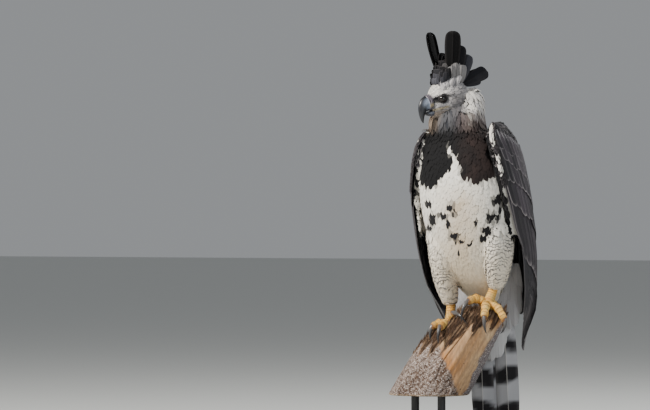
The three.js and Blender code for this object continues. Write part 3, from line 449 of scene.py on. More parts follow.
def head_colour(points):
    """Colour of the plumage on the head, from places in the frame."""
    local = to_head(points)
    f, y, u = local[..., 0], np.abs(local[..., 1]), local[..., 2]
    fine = wobble(points, 6, 1.3)
    mottle = np.clip(0.2 + 0.45 * wobble(points, 4.5, 2.2), 0, 0.55)
    colour = blend_between(NAPE_GREY * 0.8, EAR_GREY, mottle * ease(u, 24, 8))
    colour = blend_between(colour, WHITE, (0.5 + 0.45 * wobble(points, 3.6, 4.1)) * ease(u + 3 * fine, 13, 22)
                           * ease(f, -4, 14))
    crown = ease(u + 3 * fine, 33, 42) * ease(f, 22, 8)
    colour = blend_between(colour, CROWN_DARK, 0.85 * crown)
    ear = np.exp(-(((f + 8) / 15) ** 2 + ((u + 2) / 13) ** 2))
    colour = blend_between(colour, EAR_GREY, 0.6 * ear * ease(y, 18, 28))
    lore = np.exp(-(((f - 37) / 11) ** 2 + ((u - 4) / 7.5) ** 2) ** 2)
    colour = blend_between(colour, LORE_GREY, np.clip(1.3 * lore, 0, 1))
    socket = np.exp(-(((f - 23) / 13) ** 2 + ((u - 7) / 10) ** 2) ** 2)
    colour = blend_between(colour, LORE_GREY, np.clip(1.1 * socket, 0, 0.9) * ease(y, 14, 20))
    # painted shadow: a dark line under the brow ridge, above the eye
    brow = np.exp(-((u - BROW_LINE(f.ravel())[:, 0].reshape(f.shape) + 4) / 2.4) ** 2) * ease(f, 4, 12)
    brow = np.clip(1.3 * brow, 0, 0.9) * ease(y, 11, 16) * ease(f, 46, 42)
    colour = blend_between(colour, BAND_BLACK, brow)
    # painted shade: a dark line in the gape, just under the lip
    slit = np.exp(-((u - GAPE_LINE(f.ravel())[:, 0].reshape(f.shape) + 2.6) / 2.0) ** 2) * ease(f, 13, 17)
    colour = blend_between(colour, BAND_BLACK, slit)
    colour = blend_between(colour, THROAT, 0.7 * ease(u, -16, -30) * ease(f, -20, 10))
    rim = np.exp(-((np.hypot(f - 14, (u + 2) * 0.9) - 40) / 4.5) ** 2) * ease(f, 6, -12)
    colour = blend_between(colour, CROWN_DARK, 0.35 * rim * ease(y, 12, 24))
    return blend_between(colour, WHITE, np.clip(0.12 * fine, 0, 1))


def drop_strength(points, normals):
    """How far a feather's end is dark, from the drops on belly and flanks."""
    p = np.asarray(points, float)
    a, z = p @ ACROSS_VIEW, p[:, 2]
    strength = np.zeros(len(p))
    for across, height, wide, tall in DROPS:
        reach = np.hypot((a - across) / (wide + 1), (z - height) / (tall + 1))
        strength = np.maximum(strength, ease(reach, 1.25, 0.8))
    return strength * ease(np.asarray(normals) @ np.array(view_from), -0.15, 0.1)


def body_lie(points, normals):
    """Which way a contour feather points from its root."""
    p = np.asarray(points, float)
    n = np.asarray(normals, float)
    lie = np.tile([0.0, 0.0, -1.0], (len(p), 1))
    lie = blend_between(lie, [0, 0.8, -0.6], ease(-n[:, 2], 0.25, 0.8) * ease(p[:, 2], 520, 440))
    lie = blend_between(lie, [0, 0.9, -0.5], ease(n[:, 2], 0.5, 0.95))
    return unit(lie - n * (lie * n).sum(1, keepdims=True))


def head_lie(points, normals):
    local = to_head(points)
    f, u = local[:, 0], local[:, 2]
    away = np.stack([-np.ones(len(f)), 0.9 * local[:, 1] / 40, u / 55], 1)
    away[:, 2] += 0.35 * ease(u, 20, 40) - 0.75 * ease(f, 0, -45) * ease(u, 45, 10) - 0.5 * ease(u, -5, -30)
    away[:, 2] -= 0.4 * ease(np.abs(local[:, 1]), 20, 36)
    lie = away @ HEAD_AXES
    return unit(lie - normals * (lie * normals).sum(1, keepdims=True))


def lay_stations(roots, normals, lie, lengths, shares, tree=skin_tree):
    """Follows the skin from each root along its lie: places and normals by station."""
    places, outs = [roots], [normals]
    at, heading = roots, lie
    for before, after in zip(shares[:-1], shares[1:]):
        ahead = at + heading * (lengths * (after - before))[:, None]
        next_at, next_out = ahead.copy(), outs[-1].copy()
        for i, p in enumerate(ahead):
            found, normal, _, _ = tree.find_nearest(Vector(p), 40)
            if found is not None:
                next_at[i] = found
                next_out[i] = normal
        next_out = unit(0.5 * outs[-1] + next_out)
        moved = next_at - at
        keep = np.linalg.norm(moved, axis=1, keepdims=True) > 1e-3
        heading = np.where(keep, moved, heading)
        heading = unit(heading - next_out * (heading * next_out).sum(1, keepdims=True))
        at = next_at
        places.append(at)
        outs.append(next_out)
    return np.stack(places, 1), np.stack(outs, 1)


ROUND_VANE = [[0, 0.35], [0.3, 0.8], [0.62, 1], [0.86, 0.74], [1, 0.16]]
HACKLE_VANE = [[0, 0.4], [0.35, 0.9], [0.65, 0.85], [0.87, 0.48], [1, 0.06]]
SOFT_NORMALS = 0.82


def coat(name, roots, places, outs, widths, depths, colours, traits, vane=ROUND_VANE,
         sunk=1.5, thick=0.5, cup=0.2, bake=None, rise=0.75):
    """One mesh of many small feathers: a thin closed vane for each root, with its own colours."""
    shape = np.array(vane)
    share, width = shape[:, 0], shape[:, 1]
    count, stations = places.shape[:2]
    lift = -sunk + (depths[:, None] + sunk) * share[None, :] ** rise
    centre = places + outs * lift[..., None]
    along = np.gradient(centre, axis=1)
    side = unit(np.cross(along, outs))
    face = unit(np.cross(side, along))
    half = (widths[:, None] * width[None, :])[..., None]
    ring = np.stack([centre - side * half - face * half * cup, centre + face * thick / 2,
                     centre + side * half - face * half * cup, centre - face * thick / 2], 2)
    points = ring.reshape(-1, 3)
    per = stations * 4
    cell = np.array([(r * 4 + k, r * 4 + (k + 1) % 4, (r + 1) * 4 + (k + 1) % 4, (r + 1) * 4 + k)
                     for r in range(stations - 1) for k in range(4)]
                    + [(3, 2, 1, 0), tuple((stations - 1) * 4 + k for k in range(4))])
    faces = (cell[None] + (np.arange(count) * per)[:, None, None]).reshape(-1, 4)
    return feather_mesh(name, points, faces, count, per, ring_traits(
        share, np.array([0, 0.5, 1, 0.5])), colours, traits, roots, bake,
        np.stack([unit(face - side * 0.8), face, unit(face + side * 0.8), -face], 2).reshape(-1, 3),
        np.repeat(outs, 4, axis=1).reshape(-1, 3))


def ring_traits(share, across):
    """Place across and along the vane, for each point of one feather."""
    return np.stack([np.tile(across, len(share)), np.repeat(share, len(across))], 1)


def feather_mesh(name, points, faces, count, per, vane_places, colours, traits, roots, bake,
                 own_normals, skin_normals):
    """A mesh object from arrays, with colour, traits, vane and bake maps, and softened normals."""
    mesh = bpy.data.meshes.new(name)
    mesh.vertices.add(len(points))
    mesh.vertices.foreach_set("co", (points * MM).astype(np.float32).ravel())
    sides = faces.shape[1]
    mesh.loops.add(faces.size)
    mesh.loops.foreach_set("vertex_index", faces.astype(np.int32).ravel())
    mesh.polygons.add(len(faces))
    mesh.polygons.foreach_set("loop_start", np.arange(0, faces.size, sides, dtype=np.int32))
    mesh.polygons.foreach_set("loop_total", np.full(len(faces), sides, dtype=np.int32))
    mesh.polygons.foreach_set("use_smooth", np.ones(len(faces), dtype=bool))
    mesh.update(calc_edges=True)
    corner = faces.ravel()
    owner = corner // per
    bake_at = bake_places(roots) if bake is None else bake
    vane = np.tile(vane_places, (count, 1))
    bake_uv = bake_at[owner] + 0.003 * (vane[corner] - 0.5)
    mesh.uv_layers.new(name="OFBake").data.foreach_set("uv", bake_uv.astype(np.float32).ravel())
    mesh.uv_layers.new(name="Vane").data.foreach_set("uv", vane[corner].astype(np.float32).ravel())
    for label, values in (("Colour", colours), ("Traits", traits)):
        layer = mesh.attributes.new(label, "FLOAT_COLOR", "POINT")
        full = np.ones((len(points), 4), np.float32)
        if len(values) == len(points):
            full[:, :values.shape[1]] = values
        else:
            full[:, :values.shape[1]] = np.repeat(values, per, axis=0)
        layer.data.foreach_set("color", full.ravel())
    soft = unit((1 - SOFT_NORMALS) * own_normals + SOFT_NORMALS * skin_normals)
    under = (own_normals * skin_normals).sum(1) < -0.2
    soft[under] = own_normals[under]
    mesh.normals_split_custom_set_from_vertices(soft)
    made = bpy.data.objects.new(name, mesh)
    bpy.context.scene.collection.objects.link(made)
    return made


def bake_places(roots):
    """Where each root lies on the body's own unwrap: round the body, and up it."""
    turn = np.arctan2(roots[:, 0] - 5, roots[:, 1] + 5)
    low, high = roots[:, 2].min(), roots[:, 2].max()
    return np.stack([0.02 + 0.96 * (turn / (2 * math.pi) + 0.5),
                     0.02 + 0.96 * (roots[:, 2] - low) / max(high - low, 1)], 1)


def spread_out(points, gaps, seed):
    """Picks roots from many candidates so that no two stand closer than their gap."""
    tree = KDTree(len(points))
    for i, p in enumerate(points):
        tree.insert(p, i)
    tree.balance()
    free = np.ones(len(points), bool)
    kept = []
    for i in np.random.default_rng(seed).permutation(len(points)):
        if free[i]:
            kept.append(i)
            for _, j, _ in tree.find_range(points[i], gaps[i]):
                free[j] = False
    return np.array(kept)


def skin_candidates(count, seed):
    """Random places spread evenly over the skin, with its normals."""
    draw = np.random.default_rng(seed)
    points, _ = mesh_points(skin)
    corners = np.array([tuple(p.vertices)[:4] for p in skin.data.polygons if len(p.vertices) == 4])
    a, b, c, d = points[corners].transpose(1, 0, 2)
    area = np.linalg.norm(np.cross(c - a, d - b), axis=1) / 2
    pick = draw.choice(len(corners), count, p=area / area.sum())
    q, r = draw.random((2, count, 1))
    place = (a[pick] * (1 - q) + b[pick] * q) * (1 - r) + (d[pick] * (1 - q) + c[pick] * q) * r
    return place, unit(np.cross(b[pick] - d[pick], c[pick] - a[pick]))


def nearest_form(points):
    """Name of the form of the body that each place lies closest to."""
    far = np.array([[tree.find_nearest(Vector(p))[3] for tree in form_trees.values()] for p in points])
    return np.array(list(form_trees))[far.argmin(1)]


def paint(obj, colours):
    """Gives a mesh its own colour at each point."""
    layer = obj.data.attributes.new("Colour", "FLOAT_COLOR", "POINT")
    full = np.ones((len(obj.data.vertices), 4), np.float32)
    full[:, :3] = colours
    layer.data.foreach_set("color", full.ravel())


def mesh_points(obj):
    points = np.empty(len(obj.data.vertices) * 3)
    obj.data.vertices.foreach_get("co", points)
    normals = np.empty(len(obj.data.vertices) * 3)
    obj.data.vertices.foreach_get("normal", normals)
    return points.reshape(-1, 3) / MM, normals.reshape(-1, 3)


skin_places, skin_normals = mesh_points(skin)
on_head = np.array([form_trees["head"].find_nearest(Vector(p))[3] < 2.5 for p in skin_places])
skin_tone = np.where(on_head[:, None], head_colour(skin_places), body_colour(skin_places, skin_normals))
paint(skin, skin_tone * 0.8)


def node_in(tree, kind, links=None, values=None, **settings):
    """A new node in a tree, with its own settings and its sockets set or linked."""
    node = tree.nodes.new(kind)
    for key, value in settings.items():
        setattr(node, key, value)
    for key, value in (values or {}).items():
        node.inputs[key].default_value = value
    for key, source in (links or {}).items():
        tree.links.new(source, node.inputs[key])
    return node


class Shader:
    """A material under construction: its node tree, and short ways to add to it."""

    def __init__(self, name):
        self.material = bpy.data.materials.new(name)
        self.material.use_nodes = True
        self.tree = self.material.node_tree
        self.surface = self.tree.nodes["Principled BSDF"]

    def add(self, kind, links=None, values=None, **settings):
        return node_in(self.tree, "ShaderNode" + kind, links, values, **settings)

    def attribute(self, name):
        return self.add("Attribute", attribute_name=name)

    def maths(self, operation, a, b=None, clamp=False):
        node = self.add("Math", operation=operation, use_clamp=clamp)
        for slot, value in enumerate((a, b)):
            if value is None:
                continue
            if isinstance(value, (int, float)):
                node.inputs[slot].default_value = value
            else:
                self.tree.links.new(value, node.inputs[slot])
        return node.outputs[0]

    def between(self, value, low, high, to_low=0.0, to_high=1.0):
        """A value eased from one range to another."""
        node = self.add("MapRange", interpolation_type="SMOOTHSTEP", values={
            "From Min": low, "From Max": high, "To Min": to_low, "To Max": to_high})
        self.tree.links.new(value, node.inputs["Value"])
        return node.outputs["Result"]

    def mix(self, share, a, b):
        node = self.add("Mix", data_type="RGBA", clamp_factor=True)
        for key, value in ((0, share), (6, a), (7, b)):
            if hasattr(value, "links"):
                self.tree.links.new(value, node.inputs[key])
            elif key == 0:
                node.inputs[key].default_value = value
            else:
                node.inputs[key].default_value = (*value, 1)
        return node.outputs[2]

    def noise(self, scale, detail=3.0, rough=0.5, place=None):
        return self.add("TexNoise", {"Vector": place or self.place()}, {
            "Scale": scale, "Detail": detail, "Roughness": rough}).outputs["Fac"]

    def place(self, scale=None):
        where = self.add("TexCoord").outputs["Object"]
        if scale is None:
            return where
        return self.add("Mapping", links={"Vector": where}, values={"Scale": scale}).outputs[0]

    def bump(self, height, strength, distance):
        node = self.add("Bump", links={"Height": height}, values={
            "Strength": strength, "Distance": distance})
        self.tree.links.new(node.outputs[0], self.surface.inputs["Normal"])

    def put(self, **values):
        """Sets or links sockets of the surface, spaces in their names given as underscores."""
        for key, value in values.items():
            socket = self.surface.inputs[key.replace("_", " ")]
            if hasattr(value, "links"):
                self.tree.links.new(value, socket)
            else:
                socket.default_value = value


def plumage(name, barbs, sheen, shaft, gloss, roughness=0.8, bars=0.0):
    """Vane of a feather: shaft, slanting barbs, pale edge, dark end drops and thigh bars."""
    made = Shader(name)
    own = made.attribute("Colour").outputs["Color"]
    traits = made.add("SeparateColor", links={"Color": made.attribute("Traits").outputs["Color"]})
    drop, edge, chance = traits.outputs[0], traits.outputs[1], traits.outputs[2]
    vane = made.add("SeparateXYZ", links={"Vector": made.add("UVMap", uv_map="Vane").outputs[0]})
    across = made.maths("ABSOLUTE", made.maths("SUBTRACT", vane.outputs[0], 0.5))
    along = vane.outputs[1]
    tone = made.mix(made.between(chance, 0, 1, 0, 0.10), own, (0.0, 0.0, 0.0))
    if bars:
        height = made.add("SeparateXYZ", links={"Vector": made.place()}).outputs[2]
        drift = made.maths("MULTIPLY", made.noise(34, 1), 0.030)
        shift = made.maths("MULTIPLY", chance, 0.0035)
        wave = made.maths("SINE", made.maths("MULTIPLY", made.maths(
            "ADD", made.maths("ADD", height, drift), shift), bars))
        patch = made.noise(26, 1)
        dark = made.maths("MULTIPLY", made.between(wave, 0.35, 0.95),
                          made.maths("MULTIPLY", edge, made.between(patch, 0.35, 0.6, 0.3, 1)))
        tone = made.mix(dark, tone, shade(78, 76, 80))
    else:
        rim = made.maths("MAXIMUM", made.between(across, 0.34, 0.5), made.between(along, 0.8, 1.0))
        tone = made.mix(made.maths("MULTIPLY", rim, edge, clamp=True), tone, shade(176, 168, 168))
    tone = made.mix(made.maths("MULTIPLY", made.between(along, 0.35, 0.62), drop), tone, shade(24, 22, 24))
    spine = made.between(across, 0.05, 0.015)
    tone = made.mix(made.maths("MULTIPLY", spine, shaft), tone, (0.02, 0.018, 0.018))
    slant = made.maths("ADD", made.maths("MULTIPLY", along, barbs), made.maths("MULTIPLY", across, -barbs))
    barb = made.maths("SINE", made.maths("MULTIPLY", slant, 2 * math.pi))
    tone = made.mix(made.between(barb, -1, 1, 0, 0.08), tone, (0.0, 0.0, 0.0))
    made.bump(barb, 0.25, 0.0002)
    made.put(Base_Color=tone, Roughness=roughness, Sheen_Weight=sheen, Sheen_Roughness=0.5,
             Specular_IOR_Level=gloss)
    return made.material


def skin_material():
    """Down and quill bases between the feathers, in the same markings."""
    made = Shader("down")
    own = made.attribute("Colour").outputs["Color"]
    fluff = made.noise(620, 4, 0.7)
    tone = made.mix(made.between(fluff, 0.3, 0.7, 0, 0.35), own, (0.02, 0.02, 0.02))
    made.bump(fluff, 0.6, 0.001)
    made.put(Base_Color=tone, Roughness=0.9)
    return made.material


skin.data.materials.append(skin_material())

# Contour feathers of the body
# Soft round feathers over breast and belly, longer ones on the back, pointed hackles on the neck,
# and short barred ones on the thighs. Each is a thin vane rooted in the skin, lying down the body.
VANE_SHARES = np.array([0, 0.3, 0.62, 0.86, 1])
BODY_COAT = {
    "torso": {"gap": 5.6, "long": 31, "wide": 6.0, "deep": 7.6, "even": 0.95, "rise": 0.28},
    "back": {"gap": 7.6, "long": 36, "wide": 11, "deep": 8.0},
    "neck": {"gap": 4.8, "long": 30, "wide": 4.8, "deep": 8.6, "even": 0.84, "rise": 0.5},
    "thigh": {"gap": 4.0, "long": 19, "wide": 4.0, "deep": 5.6},
    "tail_root": {"gap": 6.4, "long": 36, "wide": 8, "deep": 8.0},
    "lining": {"gap": 7.0, "long": 26, "wide": 7, "deep": 3.0},
}
CANDIDATES = 120000
BREAST_FOOT = 600
FLANK = 35
THIGH_BAR = 0.0096

candidates, candidate_normals = skin_candidates(CANDIDATES, 3)
nearest = nearest_form(candidates)


def under_wing(points, normals, reach=30):
    """True where the folded wing lies close over the skin."""
    hidden = np.zeros(len(points), bool)
    for i, (p, n) in enumerate(zip(points, normals)):
        for arm in ("arm_left", "arm_right"):
            if form_trees[arm].ray_cast(Vector(p + n * 3), Vector(n), reach)[0] is not None:
                hidden[i] = True
    return hidden


def lay_coat(name, chosen, size, seed, material, vane=ROUND_VANE, edge=0.0, colour=body_colour):
    """Feathers of one part of the body, picked from the places on the skin that are chosen."""
    draw = np.random.default_rng(seed)
    points, normals = candidates[chosen], candidate_normals[chosen]
    keep = spread_out(points, np.full(len(points), size["gap"]), seed)
    points, normals = points[keep], normals[keep]
    hidden = under_wing(points, normals)
    points, normals = points[~hidden], normals[~hidden]
    count = len(points)
    lie = body_lie(points, normals)
    turn = draw.normal(0, 0.13, (count, 1))
    lie = unit(lie + np.cross(normals, lie) * turn)
    lengths = size["long"] * draw.uniform(0.85, 1.15, count)
    places, outs = lay_stations(points, normals, lie, lengths, VANE_SHARES)
    depths = size["deep"] * draw.uniform(size.get("even", 0.75), 1.06, count)
    widths = size["wide"] * draw.uniform(0.88, 1.12, count)
    tips, tip_outs = places[:, 3], outs[:, 3]
    traits = np.stack([drop_strength(tips, tip_outs), np.full(count, edge), draw.random(count)], 1)
    made = coat(name, points, places, outs, widths, depths, colour(tips, tip_outs), traits, vane=vane,
                thick=0.36, cup=0.14, rise=size.get("rise", 0.6))
    settled(made, material)


soft_plumage = plumage("soft plumage", barbs=26, sheen=0.05, shaft=0.04, gloss=0.2)
barred_plumage = plumage("barred plumage", barbs=20, sheen=0.05, bars=2 * math.pi / THIGH_BAR,
                         shaft=0.03, gloss=0.2)
on_torso = nearest == "torso"
high = candidates[:, 2] > BREAST_FOOT
fore = candidates[:, 1] < FLANK
lay_coat("breast_feathers", on_torso & fore & high, BODY_COAT["torso"], 11, soft_plumage)
lay_coat("belly_feathers", on_torso & fore & ~high, BODY_COAT["torso"], 12, soft_plumage)
lay_coat("back_feathers", on_torso & ~fore, BODY_COAT["back"], 13, soft_plumage, edge=0.35)
lay_coat("neck_hackles", nearest == "neck", BODY_COAT["neck"], 14, soft_plumage,
         vane=HACKLE_VANE)
for label, seed in (("left", 15), ("right", 16)):
    lay_coat("thigh_feathers_" + label, nearest == "thigh_" + label, BODY_COAT["thigh"], seed,
             barred_plumage, edge=1.0)
lay_coat("tail_root_feathers", nearest == "tail_root", BODY_COAT["tail_root"], 17, soft_plumage)

# Small feathers of the head
# Tiny bristle-like feathers round the eye and bill, growing longer over cheek, crown and throat,
# set close and flat on the brow, socket and cheek, and swept back from the bill.
EYE_PLACE = np.array([23, 20.5, 6])
EYE_RADIUS = 12.5
BILL_ROOT = 46
HEAD_CANDIDATES = 60000
LID_REACH = 12.4

draw = np.random.default_rng(71)
head_tree, neck_tree = form_trees["head"], form_trees["neck"]
head_places, head_faces = body_forms["head"]
quads = np.array([face for face in head_faces if len(face) == 4])
corner_a, corner_b, corner_c, corner_d = head_places[quads].transpose(1, 0, 2)
area = np.linalg.norm(np.cross(corner_c - corner_a, corner_d - corner_b), axis=1)
pick = draw.choice(len(quads), HEAD_CANDIDATES, p=area / area.sum())
roots = (corner_a[pick] + corner_c[pick] + corner_b[pick] + corner_d[pick]) / 4
roots = roots + (corner_b[pick] - corner_a[pick]) * draw.uniform(-0.5, 0.5, (HEAD_CANDIDATES, 1))
roots = roots + (corner_d[pick] - corner_a[pick]) * draw.uniform(-0.5, 0.5, (HEAD_CANDIDATES, 1))
found = [head_tree.find_nearest(Vector(p)) for p in roots]
roots = np.array([hit[0] for hit in found])
normals = np.array([hit[1] for hit in found])
local = to_head(roots)
normals = normals * np.sign(((local - [-8, 0, 0]) @ HEAD_AXES * normals).sum(1, keepdims=True))
f, y, u = local[:, 0], np.abs(local[:, 1]), local[:, 2]
eye_out = unit([0.36, 0.93, 0.04])
from_eye = np.stack([f, y, u], 1) - EYE_PLACE
off_axis = np.linalg.norm(from_eye - (from_eye @ eye_out)[:, None] * eye_out, axis=1)
bare = (off_axis < LID_REACH) | (f > BILL_ROOT - 1.5)
bare |= (np.abs(u - GAPE_LINE(f)[:, 0]) < 1.1) & (f > 13)
in_neck = np.array([(Vector(p) - hit[0]).dot(hit[1]) < -1 for p, hit in zip(
    roots, [neck_tree.find_nearest(Vector(p)) for p in roots])])
free = ~bare & ~in_neck
roots, normals, local, f, off_axis = [v[free] for v in (roots, normals, local, f, off_axis)]
near_face = ease(f, -8, 30)
gaps = 4.4 - 1.9 * near_face - 0.35 * ease(off_axis, 24, 14)
keep = spread_out(roots, gaps, 72)
roots, normals, local, near_face = [v[keep] for v in (roots, normals, local, near_face)]
count = len(roots)
lie = head_lie(roots, normals)
lie = unit(lie + np.cross(normals, lie) * draw.normal(0, 0.14, (count, 1)))
grow = (1 - near_face)
lengths = (6.2 + 10.5 * grow) * draw.uniform(0.8, 1.2, count)
places, outs = lay_stations(roots, normals, lie, lengths, VANE_SHARES, head_tree)
outs = outs * np.sign((outs * normals[:, None]).sum(2, keepdims=True))
traits = np.stack([np.zeros(count), 0.15 * grow, draw.random(count)], 1)
widths = (1.7 + 2.2 * grow) * draw.uniform(0.85, 1.15, count)
depths = (1.3 + 2.2 * grow) * draw.uniform(0.75, 1.15, count)
round_head = np.arctan2(local[:, 1], local[:, 2]) / (2 * math.pi) + 0.5
on_unwrap = np.stack([0.02 + 0.96 * round_head, 0.02 + 0.96 * (local[:, 0] + 70) / 120], 1)
settled(coat("head_feathers", roots, places, outs, widths, depths, head_colour(places[:, 3]), traits,
             sunk=0.7, thick=0.3, bake=on_unwrap), soft_plumage)


# Eyes and lids
# Large dark eyes in bare slate skin. Each is a glossy ball with a raised cornea over a brown and
# grey iris, held by a rolled rim of lid, the upper one cut straight by the brow.
def eye_frame(side):
    """Axes of an eye: out along its gaze, along toward the bill, and up."""
    out = unit([0.42, side * 0.90, 0.02])
    up = unit(np.array([0, 0, 1]) - out * out[2])
    return out, np.cross(up, out) * -side, up


def lat_long(angles, turns, radii, side):
    """Places round an eye by angle from its gaze and turn about it."""
    out, along, up = eye_frame(side)
    centre = EYE_PLACE * [1, side, 1]
    angles, turns, radii = np.broadcast_arrays(angles, turns, radii)
    ring = np.cos(turns)[..., None] * along + np.sin(turns)[..., None] * up
    local = centre + radii[..., None] * (np.cos(angles)[..., None] * out + np.sin(angles)[..., None] * ring)
    return from_head(local)


def iris_material():
    made = Shader("eye")
    gaze = made.add("SeparateXYZ", links={"Vector": made.add("UVMap", uv_map="Gaze").outputs[0]}).outputs[0]
    streaks = made.noise(1900, 2)
    tone = made.mix(made.between(gaze, 0.15, 0.165), (0.002, 0.002, 0.002), shade(22, 15, 11))
    tone = made.mix(made.between(gaze, 0.21, 0.25), tone, shade(46, 42, 40))
    tone = made.mix(made.between(streaks, 0.35, 0.7, 0, 0.5), tone, shade(40, 30, 24))
    tone = made.mix(made.between(gaze, 0.262, 0.285), tone, (0.004, 0.0035, 0.003))
    made.put(Base_Color=tone, Roughness=0.16, Coat_Weight=0.25, Coat_Roughness=0.03, Specular_IOR_Level=0.3)
    return made.material


def bare_skin(name, tone, spot):
    """Bare skin with fine creases, darkened in them as painted shade."""
    made = Shader(name)
    crease = made.noise(900, 4, 0.65)
    mottle = made.noise(150, 2)
    colour = made.mix(made.between(mottle, 0.35, 0.7), tone, spot)
    # painted shade in the fine creases
    colour = made.mix(made.between(crease, 0.55, 0.35, 0, 0.35), colour, (0.01, 0.01, 0.01))
    made.bump(crease, 0.5, 0.0004)
    made.put(Base_Color=colour, Roughness=0.55, Specular_IOR_Level=0.35)
    return made.material


iris = iris_material()
lid_skin = bare_skin("lid skin", shade(22, 20, 22), shade(40, 37, 38))
BALL_ROWS, BALL_COLUMNS = 34, 40
LID_COLUMNS = 48
# Round the rolled rim of a lid: angle past the opening, and distance from the eye's middle
LID_PROFILE = [(0.0, 12.1), (0.0, 13.2), (0.10, 13.8), (0.24, 13.3), (0.38, 13.4), (0.62, 12.6),
               (0.85, 10.6), (0.8, 9.4), (0.4, 11.2)]
for side, label in ((LEFT, "left"), (RIGHT, "right")):
    angles = np.linspace(0.02, math.pi - 0.02, BALL_ROWS)[:, None]
    turns = (np.arange(BALL_COLUMNS) / BALL_COLUMNS * 2 * math.pi)[None]
    radii = EYE_RADIUS - 0.5 + 0.8 * ease(angles, 0.75, 0.25)
    ball = mesh_object("eyeball_" + label, lat_long(angles, turns, radii, side).reshape(-1, 3),
                       ring_faces(BALL_ROWS, BALL_COLUMNS))
    turn_outward(ball)
    gaze = np.repeat(angles[:, 0] / math.pi, BALL_COLUMNS)
    layer = ball.data.uv_layers.new(name="Gaze")
    for loop in ball.data.loops:
        layer.data[loop.index].uv = (gaze[loop.vertex_index], 0.5)
    smooth_faces(ball)
    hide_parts("eye_" + label)
    settled(ball, iris)

    turn = (np.arange(LID_COLUMNS) / LID_COLUMNS * 2 * math.pi)[None]
    opening = 0.72 + 0.07 * np.abs(np.cos(turn)) ** 2 - 0.17 * ease(np.sin(turn), 0.1, 0.95)
    rows = [lat_long(opening + step, turn, np.full(1, radius), side)[0] for step, radius in LID_PROFILE]
    rows.append(rows[0])
    lid = mesh_object("lids_" + label, np.concatenate(rows), grid_faces(len(rows), LID_COLUMNS))
    turn_outward(lid)
    soften = lid.modifiers.new("soft rim", "SUBSURF")
    soften.levels = soften.render_levels = 1
    use_modifiers(lid)
    smooth_faces(lid)
    settled(lid, lid_skin)


# Bill
# A deep hooked horn sheath, painted pale blue-grey on the sides as a highlight and black to the ridge and
# tip, behind it the waxy cere with a slit nostril, and a small lower bill shut up under it.
UPPER_BILL = [
    [46.0, 1.5, 0, 19, 15], [51, 1.5, 0, 19.6, 15.2], [56.4, 1, -4, 19.3, 14.4],
    [58.5, 0.6, -5, 18, 13], [65, -2, -16, 16.8, 11.6], [70.5, -8, -38, 14, 9.8],
    [74.3, -17, -62, 10.6, 7.8], [76.3, -28, -80, 7.2, 5.4], [76.4, -38, -93, 4.1, 3.1],
    [75.0, -45.6, -97, 1.2, 1.0],
]
LOWER_BILL = [
    [46.0, -25.5, 7, 12.5], [53, -25.4, 6.6, 11], [60, -25, 5, 8.6], [64.4, -24, 3, 5], [66.2, -23.6, 1, 2],
]
UPPER_GRID = (84, 56)
LOWER_GRID = (30, 36)
CERE_END = 2.35
TOMIUM = -17.6
NOSTRIL = np.array([54.0, 14.2, 5.5])


def bill_loft(rows, levels, sides, upper):
    """Rings along a bill, and for each point how far along it is and its turn round the ridge."""
    shape = track([[i] + row for i, row in enumerate(rows)])
    at = np.linspace(0, len(rows) - 1, levels)
    angle = (np.arange(sides) + 0.5) / sides * 2 * math.pi
    s, c = np.sin(angle), np.cos(angle)
    rings, shares = [], []
    for q, row in zip(at, shape(at)):
        if upper:
            f, z, degrees, tall, wide = row
            turn = math.radians(degrees)
            narrow = 1 - 0.3 * np.maximum(0, s) ** 1.5
            ring = np.stack([f - math.sin(turn) * s * tall, c * wide * narrow,
                             z + math.cos(turn) * s * tall], 1)
            flat = ease(ring[:, 0], 66, 60)
            floor_at = TOMIUM - 1.5 * np.sin(np.clip((ring[:, 0] - 46) / 16, 0, 1) * math.pi)
            deep = ring[:, 2]
            ring[:, 2] = np.where(deep < floor_at, deep * (1 - flat) + floor_at * flat, deep)
        else:
            f, z, tall, wide = row
            rise = np.where(s > 0, np.minimum(s, 0.75), s)
            ring = np.stack([np.full(sides, f), c * wide, z + rise * tall], 1)
        rings.append(ring)
        shares.append(np.stack([np.full(sides, q), s], 1))
    return np.concatenate(rings), np.concatenate(shares)


def horn_material(name, roughness=0.28):
    """Layered horn: fine growth lines along it, worn a little dull, under a clear polish."""
    made = Shader(name)
    own = made.attribute("Colour").outputs["Color"]
    layers = made.noise(520, 3, 0.6, made.place((1, 1, 0.35)))
    tone = made.mix(made.between(layers, 0.35, 0.7, 0, 0.3), own, (0.01, 0.01, 0.012))
    made.bump(layers, 0.3, 0.0003)
    made.put(Base_Color=tone, Roughness=made.between(layers, 0.3, 0.7, roughness, roughness + 0.18),
             Coat_Weight=0.15, Coat_Roughness=0.25)
    return made.material


def formed_piece(name, points, faces, colours=None):
    """A closed smooth piece of the head, from points in the head's own directions."""
    made = mesh_object(name, from_head(points), faces)
    turn_outward(made)
    smooth_faces(made)
    if colours is not None:
        paint(made, colours)
    return made


horn = horn_material("bill horn")
local, share = bill_loft(UPPER_BILL, *UPPER_GRID, True)
along, ridge = share[:, 0], share[:, 1]
for side in (LEFT, RIGHT):
    reach = np.linalg.norm((local - NOSTRIL * [1, side, 1]) / [1.7, 3, 3.4], axis=1)
    local[:, 1] -= side * 2.6 * np.exp(-reach ** 2)
cere = ease(along, CERE_END + 0.6 * np.maximum(ridge, 0), CERE_END - 0.15)
swell = cere * ease(along, 0.2, 1.4)
local[:, 1] *= 1 + 0.05 * swell
# painted highlight: pale blue-grey on the sides of the horn toward its base
side_highlight = ease(along, 5.6, 3.2) * ease(ridge, 0.9, 0.35) * ease(ridge, -0.95, -0.5)
tone = blend_between(shade(30, 31, 36), shade(138, 148, 166), 0.85 * side_highlight)
cere_tone = blend_between(shade(98, 92, 100), shade(176, 160, 120),
                          np.exp(-((ridge + 0.35) / 0.22) ** 2) * 0.8)
tone = blend_between(tone, cere_tone, cere)
# painted shade: the nostril slit darkened in its hollow
hole = np.linalg.norm((np.abs(local) - NOSTRIL + [0, 1.8, 0]) / [1.5, 4, 2.6], axis=1)
